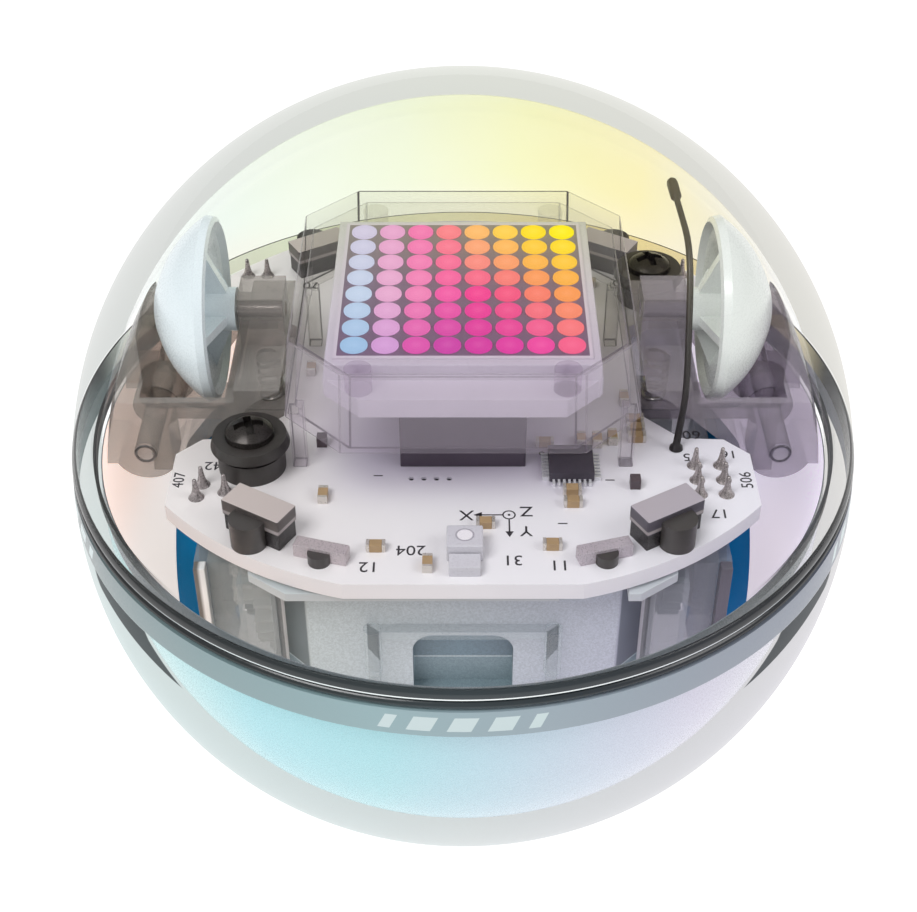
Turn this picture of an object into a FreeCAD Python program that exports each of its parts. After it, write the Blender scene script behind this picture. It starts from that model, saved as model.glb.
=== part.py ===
import FreeCAD, Part

import math
import os
import sys

import Sketcher

# Educational coding robot: a clear rolling ball with a two-wheeled robot inside.
# Millimetres. Origin at the centre of the ball, +Z up, the robot looks along -Y, +X is its left wheel side
# when seen from the front. Every driving dimension is a cell of the sheet "Sizes".

DIMENSIONS = {
    # Ball
    "shell_radius": 36.5,
    "shell_wall": 2.5,
    "seam_bottom": 4.1,
    "seam_top": 6.1,
    "seam_middle": 4.95,
    "seam_play": 0.05,
    "belt_height": 3.0,
    "belt_depth": 0.4,
    "belt_gap": 0.03,
    # Space for the robot inside the ball
    "inner_radius": 33.4,
    "tread_radius": 33.8,
    "fit_gap": 0.02,
    "running_gap": 0.05,
    # Main board
    "board_top": 7.5,
    "board_thick": 1.6,
    "board_front": 25.7,
    "board_front_half": 9.8,
    "board_side": 25.5,
    "board_front_curve": 31.0,
    "board_back_radius": 31.5,
    "via_radius": 0.25,
    "via_pitch": 1.1,
    # Display
    "connector_half": 5.5,
    "display_base": 16.3,
    "display_step": 18.1,
    "display_top": 19.7,
    "display_half": 11.5,
    "display_middle": -0.9,
    "face_half": 10.8,
    "face_thick": 0.2,
    "dot_pitch": 2.6,
    "dot_radius": 1.15,
    "dot_thick": 0.15,
    "boss_radius": 1.15,
    "cover_bottom": 13.5,
    "cover_height": 7.7,
    "cover_side": 15.2,
    "cover_front": 16.4,
    "cover_back": 14.4,
    "cover_wall": 0.8,
    "cover_taper": 5.0,
    "leg_width": 1.25,
    # Drive train
    "wheel_drop": 10.3,
    "gear_module": 0.5,
    "wheel_teeth": 30.0,
    "small_teeth": 12.0,
    "large_teeth": 26.0,
    "pinion_teeth": 10.0,
    "compound_reach": 9.5,
    "pinion_offset": 1.85,
    "frame_inner": 15.5,
    "frame_outer": 16.7,
    "frame_half": 19.6,
    "tyre_inner": 23.5,
    "tyre_outer": 27.0,
    "rim_radius": 8.5,
    "axle_radius": 1.0,
    "pin_radius": 0.7,
    "motor_radius": 5.0,
    "motor_length": 14.0,
    # Arms and idler wheels
    "idler_y": 2.5,
    "idler_z": 15.3,
    "idler_bore": 0.8,
    "idler_axle": 0.75,
    "pivot_x": 28.8,
    "pivot_z": 5.7,
    "pivot_radius": 1.0,
    "arm_front": -6.5,
    "arm_back": 11.5,
    "shelf_top": 5.4,
    "spring_x": 18.2,
    "spring_top": 10.25,
    "spring_wire": 0.18,
    # Battery and weights
    "battery_half_x": 14.0,
    "battery_half_y": 12.0,
    "battery_bottom": -3.0,
    "battery_top": 4.5,
    "ballast_near": 13.0,
    "ballast_far": 22.5,
    "ballast_half": 15.4,
    "ballast_bottom": -18.5,
    "ballast_top": 4.4,
    "base_bottom": -29.0,
    "base_floor": -24.5,
    "base_rim": -19.9,
}

V = FreeCAD.Vector
doc = FreeCAD.newDocument("CodingRobot")


class Size(float):
    """A number that remembers the sheet expression it was worked out from."""

    def __new__(cls, value, text=None):
        size = super().__new__(cls, value)
        size.text = text or "(%r)" % float(value)
        return size

    def combine(self, sign, other, value):
        return Size(value, "(%s %s %s)" % (self.text, sign, as_size(other).text))

    def __add__(self, other):
        return self.combine("+", other, float(self) + float(other))

    def __sub__(self, other):
        return self.combine("-", other, float(self) - float(other))

    def __mul__(self, other):
        return self.combine("*", other, float(self) * float(other))

    def __truediv__(self, other):
        return self.combine("/", other, float(self) / float(other))

    def __neg__(self):
        return Size(-float(self), "(-1 * %s)" % self.text)

    def __radd__(self, other):
        return as_size(other) + self

    def __rsub__(self, other):
        return as_size(other) - self

    def __rmul__(self, other):
        return as_size(other) * self


def as_size(value):
    return value if isinstance(value, Size) else Size(value)


def root(size):
    return Size(math.sqrt(size), "sqrt(%s)" % size.text)


def reach(radius, *offsets):
    """The third side: how far a sphere or circle of this radius reaches past the given offsets."""
    square = radius * radius
    for offset in offsets:
        square = square - as_size(offset) * as_size(offset)
    return root(square)


class Sizes:
    """The sheet, and one attribute of type Size for each of its cells."""

    def __init__(self, dimensions):
        self.sheet = doc.addObject("Spreadsheet::Sheet", "Sizes")
        for row, (alias, value) in enumerate(dimensions.items(), start=1):
            self.sheet.set("A%d" % row, alias)
            self.sheet.set("B%d" % row, str(value))
            self.sheet.setAlias("B%d" % row, alias)
            setattr(self, alias, Size(value, "Sizes." + alias))
        doc.recompute()


S = Sizes(DIMENSIONS)
nodes = []


def bind(thing, path, value):
    """Bind one property of an object to its expression in the sheet."""
    thing.setExpression(path, as_size(value).text)


def node(thing, label):
    """Name a finished sub-part."""
    thing.Label = label
    nodes.append(thing)
    return thing


def place(thing, x=0.0, y=0.0, z=0.0, rotation=None):
    thing.Placement = FreeCAD.Placement(V(x, y, z), rotation or FreeCAD.Rotation())
    for axis, value in zip("xyz", (x, y, z)):
        bind(thing, "Placement.Base." + axis, value)
    return thing


def span(side, near, far):
    """An interval measured outwards from the middle, on the given side."""
    return (near, far) if side > 0 else (-as_size(far), -as_size(near))


# Simple solids

AXIS_ROTATION = {
    "x": FreeCAD.Rotation(V(1, 1, 1), 120),
    "y": FreeCAD.Rotation(V(1, 0, 0), -90),
    "z": FreeCAD.Rotation(),
}


def box(name, x, y, z):
    solid = doc.addObject("Part::Box", name)
    for side, (low, high) in zip(("Length", "Width", "Height"), (x, y, z)):
        bind(solid, side, as_size(high) - low)
    return place(solid, x[0], y[0], z[0])


def turned_box(name, length, width, z, x, y, angle):
    """A box centred on x, y and turned about Z by an angle in degrees."""
    solid = doc.addObject("Part::Box", name)
    bind(solid, "Length", length)
    bind(solid, "Width", width)
    bind(solid, "Height", as_size(z[1]) - z[0])
    turn = FreeCAD.Rotation(V(0, 0, 1), angle)
    corner = turn.multVec(V(-length / 2, -width / 2, 0))
    return place(solid, x + corner.x, y + corner.y, z[0], turn)


def cylinder(name, radius, along, centre, axis="z"):
    """A cylinder along one axis, from along[0] to along[1]; centre holds its other two coordinates."""
    solid = doc.addObject("Part::Cylinder", name)
    bind(solid, "Radius", radius)
    bind(solid, "Height", as_size(along[1]) - along[0])
    at = list(centre)
    at.insert("xyz".index(axis), along[0])
    return place(solid, *at, rotation=AXIS_ROTATION[axis])


def cone(name, radius_low, radius_high, along, centre):
    solid = doc.addObject("Part::Cone", name)
    bind(solid, "Radius1", radius_low)
    bind(solid, "Radius2", radius_high)
    bind(solid, "Height", as_size(along[1]) - along[0])
    return place(solid, centre[0], centre[1], along[0])


def ball(name, radius, centre=(0.0, 0.0, 0.0)):
    solid = doc.addObject("Part::Sphere", name)
    bind(solid, "Radius", radius)
    return place(solid, *centre)


def rod(name, start, end, radius):
    """A straight round rod between two points."""
    solid = doc.addObject("Part::Cylinder", name)
    line = V(*end) - V(*start)
    bind(solid, "Radius", radius)
    solid.Height = line.Length
    solid.Placement = FreeCAD.Placement(V(*start), FreeCAD.Rotation(V(0, 0, 1), line))
    return solid


def fuse(name, *parts):
    result = doc.addObject("Part::MultiFuse", name)
    result.Shapes = list(parts)
    return result


def common(name, *parts):
    result = doc.addObject("Part::MultiCommon", name)
    result.Shapes = list(parts)
    return result


def cut(name, base, *tools):
    result = doc.addObject("Part::Cut", name)
    result.Base = base
    result.Tool = tools[0] if len(tools) == 1 else fuse(name + "_tools", *tools)
    return result


def group(name, parts):
    """Separate solids that share one node."""
    result = doc.addObject("Part::Compound", name)
    result.Links = list(parts)
    return result


# Sketched solids

def new_body(name):
    return doc.addObject("PartDesign::Body", name)


def middle_of_arc(start, end, radius):
    """The middle of an arc that bulges to the right of the way from start to end."""
    chord = end - start
    half = chord.Length / 2
    rise = abs(radius) - math.sqrt(radius * radius - half * half)
    right = V(chord.y, -chord.x, 0).normalize()
    return (start + end) * 0.5 + right * (rise if radius > 0 else -rise)


def new_sketch(body, name, plane):
    outline = body.newObject("Sketcher::SketchObject", name)
    origin_plane = [feature for feature in body.Origin.OriginFeatures if feature.Role == plane][0]
    outline.AttachmentSupport = (origin_plane, [""])
    outline.MapMode = "FlatFace"
    return outline


def limit(outline, constraint, value):
    """Add a dimension to a sketch, bound to the sheet where its value comes from there."""
    number = outline.addConstraint(constraint)
    if isinstance(value, Size):
        outline.setExpression("Constraints[%d]" % number, value.text)


def sketch(body, name, plane, corners):
    """A closed outline. A corner is (x, y), or (x, y, radius) where an arc leaves it: a positive radius
    bulges to the right of the way along the outline, a negative one to the left."""
    outline = new_sketch(body, name, plane)
    points = [V(corner[0], corner[1], 0) for corner in corners]
    count = len(corners)
    # A sketch stores every arc anticlockwise, so an arc that bulges to the left starts at its far corner.
    first_end = [2 if len(corner) == 3 and corner[2] < 0 else 1 for corner in corners]
    for index, corner in enumerate(corners):
        start = points[index]
        end = points[(index + 1) % count]
        if len(corner) == 2:
            outline.addGeometry(Part.LineSegment(start, end))
            continue
        middle = middle_of_arc(start, end, corner[2])
        ends = (start, end) if corner[2] > 0 else (end, start)
        outline.addGeometry(Part.Arc(ends[0], middle, ends[1]))
    for index, corner in enumerate(corners):
        following = (index + 1) % count
        for kind, value in zip(("DistanceX", "DistanceY"), corner[:2]):
            limit(outline, Sketcher.Constraint(kind, index, first_end[index], float(value)), value)
        outline.addConstraint(Sketcher.Constraint("Coincident", index, 3 - first_end[index],
                                                  following, first_end[following]))
        if len(corner) == 3:
            radius = corner[2] if corner[2] > 0 else -corner[2]
            limit(outline, Sketcher.Constraint("Radius", index, float(radius)), radius)
    return outline


def circles(body, name, plane, spots, radius):
    """Equal circles at the given spots."""
    outline = new_sketch(body, name, plane)
    for index, (x, y) in enumerate(spots):
        outline.addGeometry(Part.Circle(V(x, y, 0), V(0, 0, 1), float(radius)))
        limit(outline, Sketcher.Constraint("DistanceX", index, 3, float(x)), x)
        limit(outline, Sketcher.Constraint("DistanceY", index, 3, float(y)), y)
        limit(outline, Sketcher.Constraint("Radius", index, float(radius)), radius)
    return outline


def pad(body, name, profile, length, both_ways=False, taper=None):
    feature = body.newObject("PartDesign::Pad", name)
    feature.Profile = profile
    feature.Midplane = both_ways
    bind(feature, "Length", length)
    if taper is not None:
        bind(feature, "TaperAngle", taper)
    return feature


def pocket(body, name, profile, depth, taper=None):
    """Cut upwards from the sketch plane."""
    feature = body.newObject("PartDesign::Pocket", name)
    feature.Profile = profile
    feature.Reversed = True
    bind(feature, "Length", depth)
    if taper is not None:
        bind(feature, "TaperAngle", taper)
    return feature


def revolve(body, name, profile, axis="V_Axis"):
    feature = body.newObject("PartDesign::Revolution", name)
    feature.Profile = profile
    feature.ReferenceAxis = (profile, [axis])
    feature.Angle = 360.0
    return feature


def repeat_round(body, name, feature, axis_owner, axis, count):
    """Repeat a feature evenly round an axis."""
    pattern = body.newObject("PartDesign::PolarPattern", name)
    pattern.Originals = [feature]
    pattern.Axis = (axis_owner, [axis])
    pattern.Angle = 360.0
    bind(pattern, "Occurrences", count)
    body.Tip = pattern
    return pattern


# Ball

def make_upper_shell():
    body = new_body("UpperShell")
    inner = S.shell_radius - S.shell_wall
    edge = S.seam_top + S.seam_play
    profile = sketch(body, "UpperShellProfile", "XZ_Plane", [
        (reach(inner, edge), edge),
        (reach(S.shell_radius, edge), edge, S.shell_radius),
        (0.0, S.shell_radius),
        (0.0, inner, -inner),
    ])
    revolve(body, "UpperShellTurn", profile)
    node(body, "upper_shell")


def make_lower_shell():
    body = new_body("LowerShell")
    inner = S.shell_radius - S.shell_wall
    edge = S.seam_bottom - S.seam_play
    step = S.shell_radius - S.belt_depth
    belt_low = edge - S.belt_height
    profile = sketch(body, "LowerShellProfile", "XZ_Plane", [
        (reach(inner, edge), edge, -inner),
        (0.0, -inner),
        (0.0, -S.shell_radius, S.shell_radius),
        (reach(S.shell_radius, belt_low), belt_low),
        (reach(step, belt_low), belt_low, step),
        (reach(step, edge), edge),
    ])
    revolve(body, "LowerShellTurn", profile)
    node(body, "lower_shell")


def make_belt_band():
    body = new_body("BeltBand")
    edge = S.seam_bottom - S.seam_play
    low = edge - S.belt_height + S.belt_gap
    inner = S.shell_radius - S.belt_depth + S.belt_gap
    profile = sketch(body, "BeltProfile", "XZ_Plane", [
        (reach(inner, low), low),
        (reach(S.shell_radius, low), low, S.shell_radius),
        (reach(S.shell_radius, edge), edge),
        (reach(inner, edge), edge, -inner),
    ])
    revolve(body, "BeltTurn", profile)
    node(body, "belt_band")


def make_seam_ring():
    body = new_body("SeamRing")
    inner = S.shell_radius - S.shell_wall
    lower_bead = reach(S.shell_radius, S.seam_bottom) - 0.13
    upper_bead = reach(S.shell_radius, S.seam_top) - 0.15
    profile = sketch(body, "SeamProfile", "XZ_Plane", [
        (inner, S.seam_bottom),
        (lower_bead, S.seam_bottom, Size(0.55)),
        (lower_bead - 0.07, S.seam_middle, Size(0.72)),
        (upper_bead, S.seam_top),
        (inner, S.seam_top),
    ])
    revolve(body, "SeamTurn", profile)
    node(body, "seam_ring")


# Frame

def make_base_tray():
    block = box("BaseBlock", (-S.frame_inner, S.frame_inner), (-26.0, 26.0), (S.base_bottom, S.base_rim))
    shaped = common("BaseShaped", block, ball("BaseLimit", S.inner_radius - 0.3))
    hollow = box("BaseHollow", (-13.5, 13.5), (-19.0, 19.0), (S.base_floor, S.base_rim + 1.0))
    coil_well = cylinder("CoilWell", 12.0, (S.base_bottom - 1.0, -26.6), (0.0, 0.0))
    node(cut("BaseTray", shaped, hollow, coil_well), "base_tray")


def make_side_frame(side, name):
    along = span(side, S.frame_inner, S.frame_outer)
    plate = box("SidePlate", along, (-S.frame_half, S.frame_half), (-22.0, S.board_top - S.board_thick))
    ledge = box("BatteryLedge", span(side, S.frame_inner - 4.0, S.frame_inner),
                (-S.battery_half_y, S.battery_half_y), (S.battery_bottom - 1.2, S.battery_bottom))
    solid = fuse("SideSolid", plate, ledge)
    shaped = common("SideShaped", solid, ball("SideLimit", S.inner_radius - 0.3))
    spots = [
        (0.0, -S.wheel_drop, S.axle_radius + S.fit_gap),
        (compound_y(side), compound_z(), S.pin_radius + S.fit_gap),
        (pinion_y(side), pinion_z(), Size(1.6)),
    ]
    through = span(side, 15.0, 19.0)
    holes = [cylinder("FrameHole", radius, through, (y, z), "x") for y, z, radius in spots]
    node(cut("SideFrame", shaped, *holes), name)


def make_gearbox_cover(side):
    """Clear housing round the gears, open on the inside where the side frame closes it."""
    height = (-19.0, 4.2)
    outer = box("GearboxOuter", span(side, S.frame_outer, 22.9), (-S.frame_half, S.frame_half), height)
    front_rib = box("GearboxFrontRib", span(side, 15.8, 19.0), (-22.2, -S.frame_half), height)
    back_rib = box("GearboxBackRib", span(side, 15.8, 19.0), (S.frame_half, 22.2), height)
    solid = fuse("GearboxSolid", outer, front_rib, back_rib)
    shaped = common("GearboxShaped", solid, ball("GearboxLimit", S.inner_radius - 0.2))
    room = box("GearboxRoom", span(side, 16.0, 22.0), (-18.6, 18.6), (-18.5, 3.4))
    around_wheel = (0.0, -S.wheel_drop)
    hub_hole = cylinder("GearboxHole", S.rim_radius + 0.4, span(side, 21.0, 24.0), around_wheel, "x")
    return cut("GearboxCover", shaped, room, hub_hole)


def make_gearbox_trim(side):
    """White strip along the front edge of the gearbox, beside the tyre."""
    strip = box("Trim", span(side, 21.8, 22.8), (-S.frame_half - 1.0, -S.frame_half), (-9.0, 4.4))
    return common("TrimShaped", strip, ball("TrimLimit", S.inner_radius - 0.1))


def make_arm_bracket(side):
    """Shelf over the wheel that carries the arm's pivot lug and the arm's spring."""
    middle = S.idler_y
    width = (middle - 2.2, middle + 2.2)
    pivot = (side * S.pivot_x, S.pivot_z)
    shelf = box("Shelf", span(side, S.frame_outer, S.pivot_x + 1.5), width, (S.shelf_top - 1.1, S.shelf_top))
    lug = cylinder("Lug", 2.3, width, pivot, "y")
    prong = box("Prong", span(side, S.pivot_x - 0.8, S.pivot_x + 1.2), width, (-2.0, S.shelf_top))
    solid = fuse("BracketSolid", shelf, lug, prong)
    shaped = common("BracketShaped", solid, ball("BracketLimit", S.inner_radius))
    hole = cylinder("LugHole", S.pivot_radius + S.fit_gap, (middle - 3.0, middle + 3.0), pivot, "y")
    return cut("ArmBracket", shaped, hole)


def make_front_bracket():
    """Clear frame on the front weight, with a round post at each upper corner."""
    face = -S.ballast_far
    outer = box("BracketOuter", (-8.2, 8.2), (face - 1.0, face), (-9.0, -0.2))
    window = box("BracketWindow", (-7.2, 7.2), (face - 2.0, face + 1.0), (-8.0, -1.1))
    posts = [cylinder("Post", 0.75, (-5.0, 0.2), (x, face - 0.9)) for x in (-7.7, 7.7)]
    node(fuse("FrontBracket", cut("BracketRing", outer, window), *posts), "front_bracket")


def make_spacer_sheet():
    body = new_body("SpacerSheet")
    profile = sketch(body, "SpacerProfile", "XY_Plane", [
        (-14.6, -24.7),
        (7.9, -24.7),
        (7.9, -20.0),
        (13.6, -20.0),
        (13.6, -24.7),
        (14.6, -24.7),
        (17.9, -22.3),
        (17.9, -19.8),
        (15.3, -19.8),
        (15.3, -13.5),
        (-15.3, -13.5),
        (-15.3, -19.8),
        (-17.9, -19.8),
        (-17.9, -22.3),
    ])
    pad(body, "SpacerPad", profile, Size(0.9))
    place(body, z=S.shelf_top - 0.8)
    node(body, "spacer_sheet")


def make_base_screws():
    """Four screws that hold the weights down on the base tray."""
    screws = []
    for x in (-10.5, 10.5):
        for y in (-16.0, 16.0):
            head = cylinder("ScrewHead", 1.6, (S.base_floor, S.base_floor + 0.7), (x, y))
            slot = box("ScrewSlot", (x - 1.2, x + 1.2), (y - 0.2, y + 0.2),
                       (S.base_floor + 0.4, S.base_floor + 0.9))
            screws.append(cut("Screw", head, slot))
    node(group("BaseScrews", screws), "base_screws")


# Drive train

def gear_radius(teeth):
    return S.gear_module * teeth / 2


def compound_y(side):
    return side * S.compound_reach


def compound_z():
    """The small gear meshes with the wheel gear, so the distance between them is their radii's sum."""
    distance = gear_radius(S.wheel_teeth) + gear_radius(S.small_teeth)
    return reach(distance, S.compound_reach) - S.wheel_drop


def pinion_y(side):
    return side * (S.compound_reach - S.pinion_offset)


def pinion_z():
    distance = gear_radius(S.large_teeth) + gear_radius(S.pinion_teeth)
    return compound_z() - reach(distance, S.pinion_offset)


def outward(side):
    """Turn a body whose axis is its own Z so that Z points away from the robot's middle. Seen from
    outside on either side, its own X points along +Y on the right and along -Y on the left."""
    right = AXIS_ROTATION["x"]
    return right if side > 0 else FreeCAD.Rotation(V(0, 0, 1), 180) * right


def place_on_axle(body, side, y, z, phase):
    """Phase is the direction of the first tooth in degrees, measured from the body's own X."""
    rotation = outward(side) * FreeCAD.Rotation(V(0, 0, 1), phase)
    place(body, 0.0, y, z, rotation)


def add_gear(body, name, teeth, low, high, hub_radius):
    """A spur gear about the body's Z, with its first tooth on +X."""
    pitch_radius = gear_radius(teeth)
    root_radius = pitch_radius - S.gear_module * 1.25
    tip_radius = pitch_radius + S.gear_module * 0.8
    blank = sketch(body, name + "Blank", "XZ_Plane", [
        (hub_radius, low),
        (root_radius, low),
        (root_radius, high),
        (hub_radius, high),
    ])
    revolve(body, name + "Disc", blank)
    foot = S.gear_module * 0.98
    crest = S.gear_module * 0.3
    tooth = sketch(body, name + "ToothProfile", "XY_Plane", [
        (root_radius - 0.2, -foot),
        (tip_radius, -crest),
        (tip_radius, crest),
        (root_radius - 0.2, foot),
    ])
    tooth.AttachmentOffset = FreeCAD.Placement(V(0, 0, low), FreeCAD.Rotation())
    tooth.setExpression("AttachmentOffset.Base.z", as_size(low).text)
    first = pad(body, name + "Tooth", tooth, as_size(high) - low)
    repeat_round(body, name + "Teeth", first, tooth, "N_Axis", teeth)


def direction(from_y, from_z, to_y, to_z, side):
    """Angle of the line between two axles, in a body's own frame before its phase."""
    return math.degrees(math.atan2(to_z - from_z, side * (to_y - from_y)))


def make_drive_wheel(side, name):
    """Wheel gear and hub in one piece, running on a fixed axle."""
    body = new_body("DriveWheel")
    bore = S.axle_radius + S.running_gap
    add_gear(body, "WheelGear", S.wheel_teeth, Size(19.5), Size(21.4), bore)
    hub = sketch(body, "HubProfile", "XZ_Plane", [
        (bore, 21.3),
        (3.2, 21.3),
        (3.2, 22.4),
        (S.rim_radius - 1.6, 22.4),
        (S.rim_radius - 1.0, S.tyre_inner),
        (S.rim_radius - 0.02, S.tyre_inner),
        (S.rim_radius - 0.02, 26.4),
        (S.rim_radius - 0.9, 26.4),
        (S.rim_radius - 1.3, 25.0),
        (2.6, 24.4),
        (2.6, 26.2),
        (bore, 26.2),
    ])
    revolve(body, "Hub", hub)
    toward = direction(0.0, -S.wheel_drop, compound_y(side), compound_z(), side)
    place_on_axle(body, side, 0.0, -S.wheel_drop, toward)
    node(body, name)


def make_tyre(side, name):
    """The tread is part of a sphere about the ball's centre, so it lies along the shell's inside."""
    body = new_body("Tyre")
    shoulder_x = S.tyre_inner + 0.8
    outer = reach(S.tread_radius, shoulder_x) - S.wheel_drop
    profile = sketch(body, "TyreProfile", "XZ_Plane", [
        (S.rim_radius, S.tyre_inner),
        (outer - 0.7, S.tyre_inner),
        (outer, shoulder_x, S.tread_radius),
        (reach(S.tread_radius, S.tyre_outer) - S.wheel_drop, S.tyre_outer),
        (S.rim_radius, S.tyre_outer),
    ])
    revolve(body, "TyreTurn", profile)
    place_on_axle(body, side, 0.0, -S.wheel_drop, 0.0)
    node(body, name)


def make_wheel_axle(side):
    return cylinder("WheelAxle", S.axle_radius, span(side, S.frame_inner, 26.6), (0.0, -S.wheel_drop), "x")


def make_compound_gear(side, name):
    """Large gear driven by the motor and small gear that drives the wheel, in one piece."""
    body = new_body("CompoundGear")
    bore = S.pin_radius + S.running_gap
    add_gear(body, "LargeGear", S.large_teeth, Size(17.1), Size(18.9), bore)
    add_gear(body, "SmallGear", S.small_teeth, Size(18.8), Size(21.3), bore)
    toward = direction(compound_y(side), compound_z(), 0.0, -S.wheel_drop, side)
    half_pitch = 180.0 / S.small_teeth
    place_on_axle(body, side, compound_y(side), compound_z(), toward + half_pitch)
    node(body, name)


def make_compound_pin(side):
    return cylinder("CompoundPin", S.pin_radius, span(side, S.frame_inner, 21.9),
                    (compound_y(side), compound_z()), "x")


def make_motor_pinion(side, name):
    """Pinion and its shaft. A tooth of the pinion enters the gap of the large gear that faces it."""
    body = new_body("MotorPinion")
    add_gear(body, "Pinion", S.pinion_teeth, Size(17.1), Size(18.8), Size(0.3))
    shaft = circles(body, "ShaftProfile", "XY_Plane", [(0.0, 0.0)], Size(0.5))
    shaft.AttachmentOffset = FreeCAD.Placement(V(0, 0, 15.6), FreeCAD.Rotation())
    pad(body, "Shaft", shaft, Size(3.6))
    toward_wheel = direction(compound_y(side), compound_z(), 0.0, -S.wheel_drop, side)
    large_first = toward_wheel + 180.0 / S.small_teeth
    line = direction(pinion_y(side), pinion_z(), compound_y(side), compound_z(), side)
    # Tooth position of the large gear on the line between the axles, as a fraction of its pitch
    fraction = ((line + 180.0 - large_first) * S.large_teeth / 360.0) % 1.0
    phase = line + (0.5 + fraction) * 360.0 / S.pinion_teeth
    place_on_axle(body, side, pinion_y(side), pinion_z(), phase)
    node(body, name)


def make_motor(side):
    near = S.frame_inner - S.motor_length
    centre = (pinion_y(side), pinion_z())
    can = cylinder("MotorCan", S.motor_radius, span(side, near, S.frame_inner), centre, "x")
    cap = cylinder("MotorCap", S.motor_radius - 1.6, span(side, near - 1.2, near), centre, "x")
    recess = cylinder("ShaftRecess", 1.2, span(side, S.frame_inner - 0.6, S.frame_inner + 1.0), centre, "x")
    return cut("Motor", fuse("MotorSolid", can, cap), recess)


# Arms

def make_arm(side, name):
    """Smoky carriage of one idler wheel: a boss for its axle and a guard wall that follows the shell."""
    body = new_body("ArmProfile")
    profile = sketch(body, "ArmOutline", "XZ_Plane", [
        (side * 16.2, 12.6),
        (side * 18.4, 11.4),
        (side * 23.0, 7.2),
        (side * 25.6, 4.4),
        (side * 34.0, 4.4),
        (side * 34.0, 11.3),
        (side * 20.3, 11.3),
        (side * 20.3, 12.6),
    ][::1 if side > 0 else -1])
    pad(body, "ArmPad", profile, S.arm_back - S.arm_front, both_ways=True)
    place(body, y=(S.arm_back + S.arm_front) / 2)
    middle = S.idler_y
    boss = box("ArmBoss", span(side, 16.2, 20.3), (middle - 2.0, middle + 2.0), (11.3, 17.6))
    web = box("ArmWeb", span(side, 16.2, 20.3), (middle - 5.0, middle + 5.0), (11.3, 12.6))
    pivot = cylinder("ArmPivot", 3.0, (S.arm_front, S.arm_back), (side * S.pivot_x, S.pivot_z), "y")
    guard = box("ArmGuard", span(side, 28.0, 34.0), (middle - 6.0, middle + 5.0), (5.0, 16.8))
    seat = cylinder("SpringSeat", 1.35, (S.spring_top + 0.05, 12.5), (side * S.spring_x, middle))
    solid = fuse("ArmSolid", body, boss, web, pivot, guard, seat)
    shaped = common("ArmShaped", solid, ball("ArmLimit", S.inner_radius))
    wheel_room = cylinder("WheelRoom", 9.1, span(side, 21.2, 28.85), (middle, S.idler_z), "x")
    slot = box("LugSlot", span(side, 21.0, 35.0), (middle - 2.5, middle + 2.5), (0.0, 8.9))
    axle_hole = cylinder("AxleHole", S.idler_axle + S.fit_gap, span(side, 16.0, 21.0),
                         (middle, S.idler_z), "x")
    pivot_hole = cylinder("PivotHole", S.pivot_radius + S.running_gap, (S.arm_front - 1.0, S.arm_back + 1.0),
                          (side * S.pivot_x, S.pivot_z), "y")
    node(cut("Arm", shaped, wheel_room, slot, axle_hole, pivot_hole), name)


def make_pivot_pin(side):
    return cylinder("PivotPin", S.pivot_radius, (S.arm_front - 0.2, S.arm_back + 0.2),
                    (side * S.pivot_x, S.pivot_z), "y")


def make_idler_axle(side, name):
    axle = cylinder("IdlerAxle", S.idler_axle, span(side, 16.5, 25.9), (S.idler_y, S.idler_z), "x")
    node(axle, name)


def make_idler_wheel(side, name):
    """Dished wheel like a mushroom: a domed tread, a hollow back and four ribs on the hub."""
    body = new_body("IdlerWheel")
    profile = sketch(body, "IdlerProfile", "XZ_Plane", [
        (S.idler_bore, 20.6),
        (2.0, 20.6),
        (2.0, 25.2, Size(9.0)),
        (7.3, 22.9),
        (7.9, 22.3),
        (8.35, 22.5),
        (8.5, 23.2, Size(11.0)),
        (3.0, 27.5, Size(6.0)),
        (0.9, 28.05),
        (0.0, 28.05),
        (0.0, 26.2),
        (S.idler_bore, 26.2),
    ])
    revolve(body, "IdlerTurn", profile)
    rib = sketch(body, "RibProfile", "XZ_Plane", [
        (1.6, 21.2),
        (7.4, 23.6),
        (6.0, 24.9),
        (1.6, 25.9),
    ])
    first = pad(body, "Rib", rib, Size(0.9), both_ways=True)
    repeat_round(body, "Ribs", first, rib, "V_Axis", Size(4))
    place_on_axle(body, side, S.idler_y, S.idler_z, 0.0)
    node(body, name)


def make_arm_spring(side, name):
    """Compression spring between the shelf and the arm's boss, six turns of round wire."""
    centre = (side * S.spring_x, S.idler_y)
    start = S.shelf_top + S.spring_wire + 0.02
    helix = doc.addObject("Part::Helix", "SpringHelix")
    bind(helix, "Radius", Size(1.05))
    bind(helix, "Pitch", (S.spring_top - S.spring_wire - start) / 5)
    bind(helix, "Height", S.spring_top - S.spring_wire - start)
    section = doc.addObject("Part::Circle", "SpringSection")
    bind(section, "Radius", S.spring_wire)
    section.Placement = FreeCAD.Placement(V(1.05, 0, 0), FreeCAD.Rotation(V(1, 0, 0), 90))
    doc.recompute()
    coil = doc.addObject("Part::Sweep", "SpringCoil")
    coil.Sections = [section]
    coil.Spine = (helix, ["Edge1"])
    coil.Solid = True
    coil.Frenet = True
    place(coil, centre[0], centre[1], start)
    node(coil, name)


# Power and weights

def make_battery():
    core = box("BatteryCore", (-S.battery_half_x, S.battery_half_x), (-S.battery_half_y, S.battery_half_y),
               (S.battery_bottom, S.battery_top))
    doc.recompute()
    rounded = doc.addObject("Part::Fillet", "BatteryRounded")
    rounded.Base = core
    upright = [n for n, edge in enumerate(core.Shape.Edges, start=1)
               if abs(edge.tangentAt(edge.FirstParameter).z) > 0.9]
    rounded.Edges = [(n, 1.2, 1.2) for n in upright]
    node(rounded, "battery")


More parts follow.
